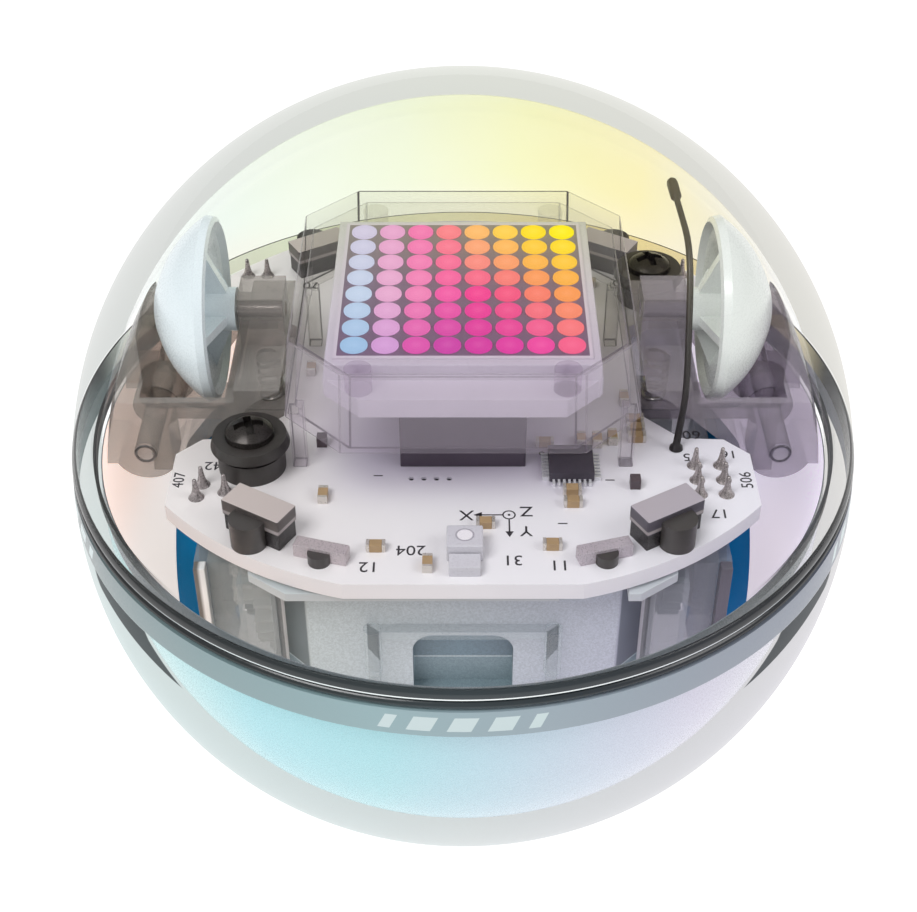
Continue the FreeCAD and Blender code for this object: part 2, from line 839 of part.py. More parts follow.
def make_ballast(side, name):
    """Form-fitted steel weight with a rounded recess in its outer face; the front one has side -1."""
    half = S.ballast_half
    along = span(side, S.ballast_near, S.ballast_far)
    block = box("BallastBlock", (-half, half), along, (S.ballast_bottom, S.ballast_top))
    shaped = common("BallastShaped", block, ball("BallastLimit", S.inner_radius - 0.6))
    corner_y = side * (S.ballast_far + 0.6)
    depth = span(side, S.ballast_far - 1.8, S.ballast_far + 0.5)
    tools = []
    for x in (-half, half):
        tools.append(turned_box("CornerCut", Size(4.0), Size(4.0), (-20.0, 6.0), x, corner_y, 45.0))
    tools.append(box("RecessLow", (-4.35, 4.35), depth, (-9.0, -3.4)))
    tools.append(box("RecessTop", (-2.55, 2.55), depth, (-5.0, -1.6)))
    for x in (-2.55, 2.55):
        tools.append(cylinder("RecessRound", 1.8, depth, (x, -3.4), "y"))
    node(cut("Ballast", shaped, *tools), name)


def make_charging_coil():
    """Winding that the charging cradle's field reaches through the tray."""
    ring = cylinder("CoilRing", 11.6, (-27.9, -27.0), (0.0, 0.0))
    hole = cylinder("CoilHole", 5.0, (-28.5, -26.0), (0.0, 0.0))
    node(cut("ChargingCoil", ring, hole), "charging_coil")


def make_coil_ferrite():
    node(cylinder("CoilFerrite", 11.8, (-27.0, -26.6), (0.0, 0.0)), "coil_ferrite")


# Main board and what stands on it

GROMMET_SPOTS = [(-18.5, -10.6), (18.6, 16.5)]
RECEIVER_FRONT = (16.9, -19.3)
RECEIVER_BACK = (14.9, 22.3)
EMITTER_SPOT = (11.6, -22.4)


def make_main_board():
    body = new_body("MainBoard")
    side_y = 15.9
    right_half = [
        (S.board_front_half, -S.board_front, S.board_front_curve),
        (S.board_side, -side_y),
        (S.board_side, -9.0),
        (23.4, -6.9),
        (19.6, -6.7),
        (16.4, -3.4),
        (16.4, 11.0),
        (18.6, 13.0),
        (28.6, reach(S.board_back_radius, 28.6), S.board_back_radius),
    ]
    left_half = []
    for index in range(len(right_half) - 1, -1, -1):
        x, y = right_half[index][:2]
        corner = [-as_size(x), y]
        if index > 0 and len(right_half[index - 1]) == 3:
            corner.append(right_half[index - 1][2])
        left_half.append(tuple(corner))
    profile = sketch(body, "BoardOutline", "XY_Plane", right_half + left_half)
    pad(body, "BoardPad", profile, S.board_thick)
    vias = [(S.via_pitch * step - 4.5, -12.4) for step in range(4)]
    holes = circles(body, "ViaHoles", "XY_Plane", vias, S.via_radius)
    pocket(body, "Vias", holes, S.board_thick)
    place(body, z=S.board_top - S.board_thick)
    node(body, "main_board")


def make_grommets():
    rings = []
    screws = []
    top = S.board_top
    for x, y in GROMMET_SPOTS:
        base = cylinder("GrommetBase", 2.95, (top, top + 2.0), (x, y))
        waist = cylinder("GrommetWaist", 2.5, (top + 2.0, top + 2.6), (x, y))
        flange = cone("GrommetFlange", 3.45, 3.2, (top + 2.6, top + 3.5), (x, y))
        bore = cylinder("GrommetBore", 2.15, (top + 3.0, top + 4.0), (x, y))
        rings.append(cut("Grommet", fuse("GrommetSolid", base, waist, flange), bore))
        head = cylinder("HeadCylinder", 2.1, (top + 3.0, top + 4.0), (x, y))
        dome = ball("HeadDome", 2.9, (x, y, top + 1.9))
        crown = common("HeadCrown", dome, cylinder("HeadTrim", 2.1, (top + 3.0, top + 5.2), (x, y)))
        slots = [turned_box("HeadSlot", Size(2.6), Size(0.7), (top + 3.9, top + 5.4), x, y, angle)
                 for angle in (15.0, 105.0)]
        screws.append(cut("GrommetScrew", fuse("HeadSolid", head, crown), *slots))
    node(group("Grommets", rings), "grommets")
    node(group("GrommetScrews", screws), "grommet_screws")


def outward_block(name, length, width, z, x, y, turn):
    return turned_box(name, Size(length), Size(width), z, x, y, turn)


def make_infrared_parts():
    """A receiver at each corner of the board and an emitter beside each front one, all looking outwards."""
    top = S.board_top
    bases = []
    cans = []
    lenses = []
    emitters = []
    for side in (-1, 1):
        for spot in (RECEIVER_FRONT, RECEIVER_BACK):
            x, y = side * spot[0], spot[1]
            end = math.copysign(1.0, y)
            turn = -side * end * 31.0
            out = FreeCAD.Rotation(V(0, 0, 1), turn).multVec(V(0, end, 0))
            bases.append(outward_block("ReceiverBase", 5.6, 2.4, (top, top + 1.7), x, y, turn))
            cans.append(outward_block("ReceiverCan", 5.8, 2.6, (top + 1.7, top + 3.2), x, y, turn))
            lens = cylinder("ReceiverLens", 1.55, (top, top + 2.7), (x + out.x * 1.6, y + out.y * 1.6))
            room = outward_block("ReceiverRoom", 5.8, 2.6, (top - 1.0, top + 4.0), x, y, turn)
            lenses.append(cut("ReceiverLensFront", lens, room))
        x, y = side * EMITTER_SPOT[0], EMITTER_SPOT[1]
        turn = side * 16.0
        out = FreeCAD.Rotation(V(0, 0, 1), turn).multVec(V(0, -1, 0))
        emitters.append(outward_block("Emitter", 4.6, 1.2, (top, top + 1.3), x, y, turn))
        lens = cylinder("EmitterLens", 0.95, (top, top + 1.0), (x + out.x * 0.6, y + out.y * 0.6))
        room = outward_block("EmitterRoom", 4.6, 1.2, (top - 1.0, top + 2.0), x, y, turn)
        lenses.append(cut("EmitterLensFront", lens, room))
    node(group("ReceiverBases", bases), "ir_receiver_bases")
    node(group("ReceiverCans", cans), "ir_receiver_cans")
    node(group("Emitters", emitters), "ir_emitters")
    node(group("InfraredLenses", lenses), "ir_lenses")


def make_front_light():
    top = S.board_top
    node(box("StatusLight", (-1.35, 1.65), (-23.0, -20.4), (top, top + 1.7)), "status_light")
    node(box("LightSensor", (-1.15, 1.45), (-24.8, -23.1), (top, top + 1.0)), "light_sensor")


def raised_box(name, x, y, reach_x, reach_y, height):
    """A box on the board round the point x, y."""
    return box(name, (x + reach_x[0], x + reach_x[1]), (y + reach_y[0], y + reach_y[1]),
               (S.board_top, S.board_top + height))


CHIP_SPOT = (9.45, -11.0)
CHIP_HALF = 1.95


def make_chip():
    x, y = CHIP_SPOT
    top = S.board_top
    node(box("Chip", (x - CHIP_HALF, x + CHIP_HALF), (y - CHIP_HALF, y + CHIP_HALF), (top + 0.15, top + 1.1)),
         "microcontroller")
    pins = []
    for step in range(8):
        middle = -1.575 + 0.45 * step
        width = (middle - 0.11, middle + 0.11)
        for length in ((-CHIP_HALF - 0.6, -CHIP_HALF), (CHIP_HALF, CHIP_HALF + 0.6)):
            pins.append(raised_box("PinY", x, y, width, length, 0.4))
            pins.append(raised_box("PinX", x, y, length, width, 0.4))
    node(group("ChipPins", pins), "microcontroller_pins")


# Each capacitor: x, y, and whether its length lies along Y
CAPACITOR_SPOTS = [
    (-12.0, -15.0, True), (-7.2, -21.5, False), (7.4, -21.3, False), (-2.9, -23.6, True),
    (9.4, -14.3, False), (9.4, -15.9, False), (1.9, -18.6, False), (7.3, -7.8, False),
    (10.6, -7.4, True), (12.0, -7.4, True), (13.4, -7.0, True), (14.9, -1.2, True),
    (15.6, -4.4, False), (15.6, -5.7, False), (15.6, -7.0, False), (-12.6, 8.0, True),
    (-14.4, 3.5, True), (12.8, 18.5, False), (-9.0, 20.0, False),
]


def make_capacitors():
    """Ceramic capacitors with a metal cap at each end."""
    half_long, half_wide, cap = 0.8, 0.42, 0.28
    width = (-half_wide, half_wide)
    between = (cap - half_long, half_long - cap)
    caps = ((-half_long, cap - half_long), (half_long - cap, half_long))
    middles = []
    ends = []
    for x, y, upright in CAPACITOR_SPOTS:
        across = (width, between) if upright else (between, width)
        middles.append(raised_box("CapacitorMiddle", x, y, *across, 0.75))
        for length in caps:
            across = (width, length) if upright else (length, width)
            ends.append(raised_box("CapacitorEnd", x, y, *across, 0.8))
    node(group("Capacitors", middles), "capacitors")
    node(group("CapacitorEnds", ends), "capacitor_ends")


def make_resistors():
    spots = [(14.9, -13.4), (-12.6, -7.6)]
    chips = [raised_box("Resistor", x, y, (-0.45, 0.45), (-0.5, 0.5), 1.0) for x, y in spots]
    node(group("Resistors", chips), "resistors")


def make_solder_pins():
    """Cone-shaped solder joints of the motor, battery and sensor wires."""
    top = S.board_top
    spots = [(-22.9, -14.9), (-22.6, -13.2), (-20.5, -14.2)]
    for column in (20.4, 22.7):
        spots += [(column, row) for row in (-10.6, -12.6, -14.5)]
    for x in (-22.2, -20.2, 20.6, 22.6):
        spots.append((x, 20.4))
    cones = [cone("Joint", 0.75, 0.15, (top, top + 2.0), spot) for spot in spots]
    node(group("SolderPins", cones), "solder_pins")


def make_antenna():
    """Whip that leans back over the arm, with a thicker tip."""
    foot = (19.0, -8.2)
    rise = (19.2, -7.7, 13.5)
    bend = (19.1, -0.6, 23.4)
    tip = (19.0, 9.0, 25.0)
    shoulder = tuple(b + 0.7 * (t - b) for b, t in zip(bend, tip))
    solids = [
        cylinder("WhipFoot", 0.85, (S.board_top, S.board_top + 0.5), foot),
        rod("WhipLower", (foot[0], foot[1], float(S.board_top) + 0.3), rise, Size(0.5)),
        ball("WhipHip", Size(0.5), rise),
        rod("WhipMiddle", rise, bend, Size(0.5)),
        ball("WhipKnee", Size(0.5), bend),
        rod("WhipUpper", bend, tip, Size(0.42)),
        rod("WhipSleeve", shoulder, tip, Size(0.68)),
        ball("WhipKnob", Size(0.68), tip),
    ]
    node(fuse("Antenna", *solids), "antenna")


# Display

def make_display_connector():
    half = S.connector_half
    node(box("Connector", (-half, half), (-10.8, 8.6), (S.board_top, S.display_base)), "display_connector")


def make_display_body():
    body = new_body("DisplayBody")
    front, back = -15.1, 12.9
    base_half = S.display_half + 0.2
    base = sketch(body, "DisplayBase", "XY_Plane", [
        (-8.6, front),
        (8.6, front),
        (base_half, front + 3.1),
        (base_half, back - 2.9),
        (8.8, back),
        (-8.8, back),
        (-base_half, back - 2.9),
        (-base_half, front + 3.1),
    ])
    pad(body, "DisplayBasePad", base, S.display_step - S.display_base)
    half = S.display_half
    block = sketch(body, "DisplayBlock", "XY_Plane", [
        (-half, S.display_middle - half),
        (half, S.display_middle - half),
        (half, S.display_middle + half),
        (-half, S.display_middle + half),
    ])
    pad(body, "DisplayBlockPad", block, S.display_top - S.display_base)
    place(body, z=S.display_base)
    node(body, "display_body")


def make_display_face():
    half = S.face_half
    middle = S.display_middle
    face = box("DisplayFace", (-half, half), (middle - half, middle + half),
               (S.display_top, S.display_top + S.face_thick))
    node(face, "display_face")


def make_led_dots():
    low = S.display_top + S.face_thick
    dots = []
    for row in range(8):
        for column in range(8):
            x = S.dot_pitch * (column - 3.5)
            y = S.dot_pitch * (row - 3.5) + S.display_middle
            dots.append(cylinder("Dot", S.dot_radius, (low, low + S.dot_thick), (x, y)))
    node(group("LedDots", dots), "led_dots")


def make_display_bosses():
    bosses = [cylinder("DisplayBoss", S.boss_radius, (S.display_step, S.display_top + 0.5), (x, y))
              for x, y in ((-8.6, -13.6), (8.6, -13.6), (-8.2, 11.8), (8.2, 11.8))]
    node(group("DisplayBosses", bosses), "display_bosses")


def cover_outline(inset):
    """Octagon round the display, drawn inwards by the inset."""
    side = S.cover_side - inset
    front = -S.cover_front + inset
    back = S.cover_back - inset
    corner = 5.0
    return [
        (side - corner, front),
        (side, front + corner),
        (side, back - corner),
        (side - corner, back),
        (corner - side, back),
        (-side, back - corner),
        (-side, front + corner),
        (corner - side, front),
    ]


def make_display_cover():
    body = new_body("CoverHood")
    outside = sketch(body, "CoverOutside", "XY_Plane", cover_outline(Size(0.0)))
    pad(body, "CoverPad", outside, S.cover_height, taper=-S.cover_taper)
    inside = sketch(body, "CoverInside", "XY_Plane", cover_outline(S.cover_wall))
    pocket(body, "CoverPocket", inside, S.cover_height - S.cover_wall, taper=-S.cover_taper)
    place(body, z=S.cover_bottom)
    legs = []
    half = S.leg_width / 2
    for x in (-14.3, 14.3):
        for y in (-10.2, 8.2):
            legs.append(box("CoverLeg", (x - half, x + half), (y - half, y + half),
                            (S.board_top, S.cover_bottom + 0.5)))
    node(fuse("DisplayCover", body, *legs), "display_cover")


PAIRS_ON_THE_FRAME = {
    "gearbox_covers": make_gearbox_cover,
    "gearbox_trims": make_gearbox_trim,
    "arm_brackets": make_arm_bracket,
    "wheel_axles": make_wheel_axle,
    "gear_pins": make_compound_pin,
    "motors": make_motor,
    "pivot_pins": make_pivot_pin,
}

PAIRS_WITH_OWN_NODES = {
    "side_frame": make_side_frame,
    "drive_wheel": make_drive_wheel,
    "tyre": make_tyre,
    "compound_gear": make_compound_gear,
    "motor_pinion": make_motor_pinion,
    "arm": make_arm,
    "idler_axle": make_idler_axle,
    "idler_wheel": make_idler_wheel,
    "arm_spring": make_arm_spring,
}


def build():
    make_upper_shell()
    make_lower_shell()
    make_belt_band()
    make_seam_ring()
    make_base_tray()
    make_front_bracket()
    make_spacer_sheet()
    make_base_screws()
    make_battery()
    make_ballast(-1, "ballast_front")
    make_ballast(1, "ballast_rear")
    make_charging_coil()
    make_coil_ferrite()
    for label, make in PAIRS_ON_THE_FRAME.items():
        node(group(label, [make(-1), make(1)]), label)
    for label, make in PAIRS_WITH_OWN_NODES.items():
        make(-1, label + "_left")
        make(1, label + "_right")
    make_main_board()
    make_grommets()
    make_infrared_parts()
    make_front_light()
    make_chip()
    make_capacitors()
    make_resistors()
    make_solder_pins()
    make_antenna()
    make_display_connector()
    make_display_body()
    make_display_face()
    make_led_dots()
    make_display_bosses()
    make_display_cover()


def check_and_write():
    doc.recompute()
    for thing in doc.Objects:
        if "Invalid" in thing.State or "Error" in thing.State:
            sys.exit("%s (%s) is %s" % (thing.Name, thing.Label, thing.State))
    for sub_part in nodes:
        shape = sub_part.Shape
        if shape.isNull() or not shape.isValid() or not shape.Solids:
            sys.exit("%s has no valid solid" % sub_part.Label)
    os.makedirs("parts", exist_ok=True)
    for sub_part in nodes:
        sub_part.Shape.exportStep("parts/%s.step" % sub_part.Label)
        solids = sub_part.Shape.Solids
        print("%-24s %3d solids %10.2f mm3" % (sub_part.Label, len(solids), sub_part.Shape.Volume))
    print(len(nodes), "nodes")


build()
check_and_write()
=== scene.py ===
import math

import bmesh
import bpy
from mathutils import Matrix, Vector


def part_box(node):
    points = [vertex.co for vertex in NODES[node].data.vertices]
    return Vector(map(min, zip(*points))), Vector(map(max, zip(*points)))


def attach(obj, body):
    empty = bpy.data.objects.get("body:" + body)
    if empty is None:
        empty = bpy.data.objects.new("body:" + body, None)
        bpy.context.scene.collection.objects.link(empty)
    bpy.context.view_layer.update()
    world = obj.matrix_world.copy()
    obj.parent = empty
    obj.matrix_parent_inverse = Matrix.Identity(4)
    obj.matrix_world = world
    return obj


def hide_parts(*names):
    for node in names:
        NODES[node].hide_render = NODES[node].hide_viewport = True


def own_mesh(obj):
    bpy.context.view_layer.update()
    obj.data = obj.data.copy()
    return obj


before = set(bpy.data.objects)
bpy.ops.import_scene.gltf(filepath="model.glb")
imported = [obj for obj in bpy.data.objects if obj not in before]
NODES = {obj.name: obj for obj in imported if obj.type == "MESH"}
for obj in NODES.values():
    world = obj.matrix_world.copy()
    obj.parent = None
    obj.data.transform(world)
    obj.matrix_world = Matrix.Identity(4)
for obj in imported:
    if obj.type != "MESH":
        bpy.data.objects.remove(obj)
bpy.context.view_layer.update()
SCENE = bpy.context.scene
# Lengths are in millimetres, except for the stage, lights and camera, which are in metres.
MM = 0.001
WHITE = (1, 1, 1, 1)
# Nearly all of a noise's values lie between these two.
NOISE_LOW, NOISE_HIGH = 0.3, 0.7


# ---------------------------------------------------------------- shader helpers

def linear(rgb):
    """Screen colour from 0 to 255 to the linear RGBA that shaders use."""
    done = []
    for channel in rgb:
        c = channel / 255
        done.append(c / 12.92 if c <= 0.04045 else ((c + 0.055) / 1.055) ** 2.4)
    return (*done, 1.0)


class Tree:
    """Builds one material's nodes. Positions are read in millimetres from the object's own coordinates."""

    def __init__(self, name):
        self.material = bpy.data.materials.new(name)
        self.material.use_nodes = True
        self.tree = self.material.node_tree
        self.tree.nodes.clear()
        self.output = self.tree.nodes.new("ShaderNodeOutputMaterial")
        coordinates = self.tree.nodes.new("ShaderNodeTexCoord")
        scaled = self.node("ShaderNodeVectorMath", operation="SCALE")
        self.link(coordinates.outputs["Object"], scaled.inputs[0])
        scaled.inputs["Scale"].default_value = 1 / MM
        self.position = scaled.outputs[0]
        split = self.node("ShaderNodeSeparateXYZ")
        self.link(self.position, split.inputs[0])
        self.x, self.y, self.z = split.outputs
        lean = self.node("ShaderNodeSeparateXYZ")
        self.link(coordinates.outputs["Normal"], lean.inputs[0])
        self.upward = lean.outputs["Z"]

    def node(self, kind, **settings):
        made = self.tree.nodes.new(kind)
        for key, value in settings.items():
            setattr(made, key, value)
        return made

    def link(self, source, target):
        self.tree.links.new(source, target)

    def put(self, socket, value):
        """Link an output, or set a plain value."""
        if isinstance(value, bpy.types.NodeSocket):
            self.link(value, socket)
        else:
            socket.default_value = value

    def math(self, operation, *values, clamp=False):
        made = self.node("ShaderNodeMath", operation=operation, use_clamp=clamp)
        for socket, value in zip(made.inputs, values):
            self.put(socket, value)
        return made.outputs[0]

    def step(self, value, low, high, to_low=0.0, to_high=1.0, smooth=True):
        """Map a value that goes from low to high onto to_low to to_high."""
        made = self.node("ShaderNodeMapRange")
        made.interpolation_type = "SMOOTHSTEP" if smooth else "LINEAR"
        for key, number in zip(("Value", "From Min", "From Max", "To Min", "To Max"),
                               (value, low, high, to_low, to_high)):
            self.put(made.inputs[key], number)
        return made.outputs[0]

    def product(self, *values):
        done = values[0]
        for value in values[1:]:
            done = self.math("MULTIPLY", done, value)
        return done

    def reach(self, x, y):
        """Distance from the origin in a plane."""
        return self.math("SQRT", self.math("ADD", self.product(x, x), self.product(y, y)))

    def vary(self, noise, low, high):
        """Spread a noise over the range from low to high."""
        return self.step(noise, NOISE_LOW, NOISE_HIGH, low, high)

    def facing(self, blend=0.5):
        """0 where the surface is seen face on, rising to 1 where it turns away."""
        made = self.node("ShaderNodeLayerWeight")
        made.inputs["Blend"].default_value = blend
        return made.outputs["Facing"]

    def mix(self, factor, first, second, blend="MIX"):
        made = self.node("ShaderNodeMix", data_type="RGBA", blend_type=blend)
        self.put(made.inputs[0], factor)
        self.put(made.inputs[6], first)
        self.put(made.inputs[7], second)
        return made.outputs[2]

    def ramp(self, value, colors):
        """Evenly spaced colours over values from 0 to 1."""
        made = self.node("ShaderNodeValToRGB")
        stops = made.color_ramp.elements
        while len(stops) < len(colors):
            stops.new(0.5)
        for index, color in enumerate(colors):
            stops[index].position = index / (len(colors) - 1)
        for index, color in enumerate(colors):
            stops[index].color = linear(color)
        self.put(made.inputs[0], value)
        return made.outputs[0]

    def noise(self, size, detail=3.0, stretch=(1, 1, 1)):
        """Noise whose features are about size millimetres across."""
        place = self.node("ShaderNodeMapping")
        place.inputs["Scale"].default_value = [s / size for s in stretch]
        self.link(self.position, place.inputs[0])
        made = self.node("ShaderNodeTexNoise")
        made.inputs["Scale"].default_value = 1.0
        made.inputs["Detail"].default_value = detail
        self.link(place.outputs[0], made.inputs["Vector"])
        return made.outputs["Fac"]

    def bump(self, height, depth, strength=1.0):
        """Bump of the given depth in millimetres."""
        made = self.node("ShaderNodeBump")
        made.inputs["Strength"].default_value = strength
        made.inputs["Distance"].default_value = depth * MM
        self.link(height, made.inputs["Height"])
        return made.outputs[0]

    def principled(self, **inputs):
        made = self.node("ShaderNodeBsdfPrincipled")
        for key, value in inputs.items():
            self.put(made.inputs[key.replace("_", " ")], value)
        return made

    def over_clear(self, amount, shader, tint=None):
        """Mix a shader over plain transparency, which may be tinted."""
        clear = self.node("ShaderNodeBsdfTransparent")
        if tint is not None:
            self.put(clear.inputs["Color"], tint)
        mixed = self.node("ShaderNodeMixShader")
        self.link(amount, mixed.inputs[0])
        self.link(clear.outputs[0], mixed.inputs[1])
        self.link(shader.outputs[0], mixed.inputs[2])
        return mixed

    def absorb(self, color, density):
        """Tint of the plastic's own body, per metre."""
        volume = self.node("ShaderNodeVolumeAbsorption")
        volume.inputs["Color"].default_value = linear(color)
        volume.inputs["Density"].default_value = density
        self.link(volume.outputs[0], self.output.inputs["Volume"])

    def surface(self, shader):
        self.link(shader.outputs[0], self.output.inputs["Surface"])
        return self.material


def across(tree, colors, low=-30.0, high=30.0, axis="x"):
    """Colours spread evenly from low to high along an axis of the robot, in millimetres."""
    place = tree.step(getattr(tree, axis), low, high, smooth=False)
    return tree.ramp(place, colors)


def solid(name, colors, roughness, metallic=0.0, grain=0.3, depth=0.004, vary=0.08, axis="x", span=(-30, 30),
          stretch=(1, 1, 1), **more):
    """Opaque moulded or metal finish: grain in the normal, and slight changes of tone and gloss."""
    tree = Tree(name)
    color = across(tree, colors, *span, axis=axis) if len(colors) > 1 else linear(colors[0])
    tone = tree.vary(tree.noise(grain * 14, 4.0), 1.0 - vary, 1.0)
    fine = tree.noise(grain, 4.0, stretch)
    shade = tree.node("ShaderNodeCombineColor")
    for socket in shade.inputs[:3]:
        tree.link(tone, socket)
    base = tree.mix(1.0, color, shade.outputs[0], "MULTIPLY")
    gloss = tree.vary(fine, roughness - 0.06, roughness + 0.08)
    shader = tree.principled(Base_Color=base, Roughness=gloss, Metallic=metallic,
                             Normal=tree.bump(fine, depth), **more)
    return tree.surface(shader)


def see_through(name, colors, alpha, roughness, absorb=None, filter_colors=None, axis="x", span=(-30, 30),
                edge=0.2, top=1.0, outline=None):
    """Clear or smoky plastic. Part of the light goes straight on, tinted; the rest meets a glossy surface.
    absorb is (colour, density per metre) of the plastic's own body; edge is how much more hides where the
    surface turns away, and outline its colour there; top scales how much an upper face hides."""
    tree = Tree(name)
    body = across(tree, colors, *span, axis=axis) if len(colors) > 1 else linear(colors[0])
    tint = across(tree, filter_colors, *span, axis=axis) if filter_colors else None
    fine = tree.noise(0.5)
    facing = tree.facing(0.35)
    if outline:
        body = tree.mix(tree.step(facing, 0.25, 0.75), body, linear(outline))
    shader = tree.principled(Base_Color=body, Roughness=tree.vary(fine, roughness, roughness + 0.06),
                             Normal=tree.bump(fine, 0.002))
    amount = tree.math("ADD", tree.product(facing, edge), alpha, clamp=True)
    if top != 1.0:
        amount = tree.product(amount, tree.step(tree.upward, 0.8, 0.95, 1.0, top))
    if absorb:
        tree.absorb(*absorb)
    return tree.surface(tree.over_clear(amount, shader, tint))


# ---------------------------------------------------------------- mesh helpers

TURN_STEPS = 224


def add_object(name, mesh, material, body, replaces=(), smooth_angle=35.0):
    """A visible piece on a CAD body. material is one finish or a list of them."""
    made = bpy.data.objects.new(name, mesh)
    SCENE.collection.objects.link(made)
    for item in material if isinstance(material, list) else [material]:
        mesh.materials.append(item)
    mesh.shade_smooth()
    mesh.set_sharp_from_angle(angle=math.radians(smooth_angle))
    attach(made, body)
    if replaces:
        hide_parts(*replaces)
    return made


def mesh_of(name, points, faces, material_of=None):
    """A mesh from points in millimetres. material_of gives a face's material slot."""
    mesh = bpy.data.meshes.new(name)
    mesh.from_pydata([tuple(c * MM for c in p) for p in points], [], faces)
    form = bmesh.new()
    form.from_mesh(mesh)
    bmesh.ops.recalc_face_normals(form, faces=form.faces)
    if material_of:
        for face in form.faces:
            face.material_index = material_of(face)
    form.to_mesh(mesh)
    form.free()
    return mesh


def turned(name, outline, material_of=None):
    """Turn a closed outline of (radius, z) about Z."""
    points = []
    rings = []
    for radius, z in outline:
        if radius < 1e-6:
            rings.append([len(points)] * TURN_STEPS)
            points.append((0.0, 0.0, z))
            continue
        start = len(points)
        rings.append(list(range(start, start + TURN_STEPS)))
        for index in range(TURN_STEPS):
            angle = 2 * math.pi * index / TURN_STEPS
            points.append((radius * math.cos(angle), radius * math.sin(angle), z))
    faces = []
    for index, ring in enumerate(rings):
        following = rings[(index + 1) % len(rings)]
        if ring[0] == ring[1] and following[0] == following[1]:
            continue
        for step in range(TURN_STEPS):
            after = (step + 1) % TURN_STEPS
            corners = [ring[step], ring[after], following[after], following[step]]
            faces.append(list(dict.fromkeys(corners)))
    return mesh_of(name, points, faces, material_of)


def arc(radius, z_from, z_to, steps):
    """Points of a circle about the ball's centre, from one height to another."""
    first, last = math.asin(z_from / radius), math.asin(z_to / radius)
    done = []
    for index in range(steps + 1):
        angle = first + (last - first) * index / steps
        done.append((max(0.0, radius * math.cos(angle)), radius * math.sin(angle)))
    return done


def tube(name, path, radii, sides):
    """A round bar along a path, closed at both ends. radii is one number, or one for each point."""
    path = [Vector(p) for p in path]
    radii = [radii] * len(path) if isinstance(radii, (int, float)) else radii
    points = []
    normal = None
    for index, centre in enumerate(path):
        ahead = path[min(index + 1, len(path) - 1)] - path[max(index - 1, 0)]
        ahead.normalize()
        if normal is None:
            normal = ahead.orthogonal()
        normal = (normal - ahead * normal.dot(ahead)).normalized()
        other = ahead.cross(normal)
        for side in range(sides):
            angle = 2 * math.pi * side / sides
            points.append(centre + (normal * math.cos(angle) + other * math.sin(angle)) * radii[index])
    faces = []
    for index in range(len(path) - 1):
        for side in range(sides):
            after = (side + 1) % sides
            faces.append([index * sides + side, index * sides + after,
                          (index + 1) * sides + after, (index + 1) * sides + side])
    faces.append(list(range(sides)))
    faces.append([len(points) - sides + side for side in range(sides)])
    return mesh_of(name, points, faces)


def prism(outline, low, high):
    """Points and faces of an upright prism, in millimetres."""
    count = len(outline)
    points = [(x, y, low) for x, y in outline] + [(x, y, high) for x, y in outline]
    faces = [list(range(count)), list(range(count, 2 * count))]
    for index in range(count):
        after = (index + 1) % count
        faces.append([index, after, count + after, count + index])
    return points, faces


def joined(name, parts):
    """One mesh from several (points, faces)."""
    points, faces = [], []
    for part_points, part_faces in parts:
        start = len(points)
        points += [tuple(p) for p in part_points]
        faces += [[index + start for index in face] for face in part_faces]
    return mesh_of(name, points, faces)


def soften(name, width, edge=None):
    """Round the edges of a CAD node a little, as moulded and machined parts have them.
    edge is the finish of the rounded edges themselves, where clear plastic catches the light."""
    thing = NODES[name]
    weld = thing.modifiers.new("Weld", "WELD")
    weld.merge_threshold = 1e-7
    bevel = thing.modifiers.new("Bevel", "BEVEL")
    bevel.width = width * MM
    bevel.segments = 2
    bevel.limit_method = "ANGLE"
    bevel.angle_limit = math.radians(30.0)
    if edge:
        thing.data.materials.append(edge)
        bevel.material = len(thing.data.materials) - 1


def paint(material, *names):
    """Give CAD nodes one finish."""
    for name in names:
        thing = NODES[name]
        thing.data.materials.clear()
        thing.data.materials.append(material)


def both(name):
    return [name + "_left", name + "_right"]


# ---------------------------------------------------------------- the ball

BALL = 36.5
WALL = 2.5
INNER = BALL - WALL
SEAM_LOW, SEAM_HIGH = 4.1, 6.1
GAP = 0.05
BELT_HIGH = SEAM_LOW - GAP
BELT_LOW = BELT_HIGH - 2.6
# Height of the seal's painted highlight line.
SEAM_HIGHLIGHT_HEIGHT = 5.3
# How far the outer surface has turned away where the inner sphere's outline lies, and where the painted dark
# wedges under the belt, a painted reflection of the seal, start and end. A wedge's lower edge is at height
# WEDGE_LOW where the surface has turned away by WEDGE_AT, and rises by WEDGE_SLOPE from there.
RIM_START, RIM_FULL = 0.626, 0.636
WEDGE_START, WEDGE_END = 0.648, 0.835
WEDGE_AT, WEDGE_LOW, WEDGE_SLOPE = 0.66, -2.2, 13.0


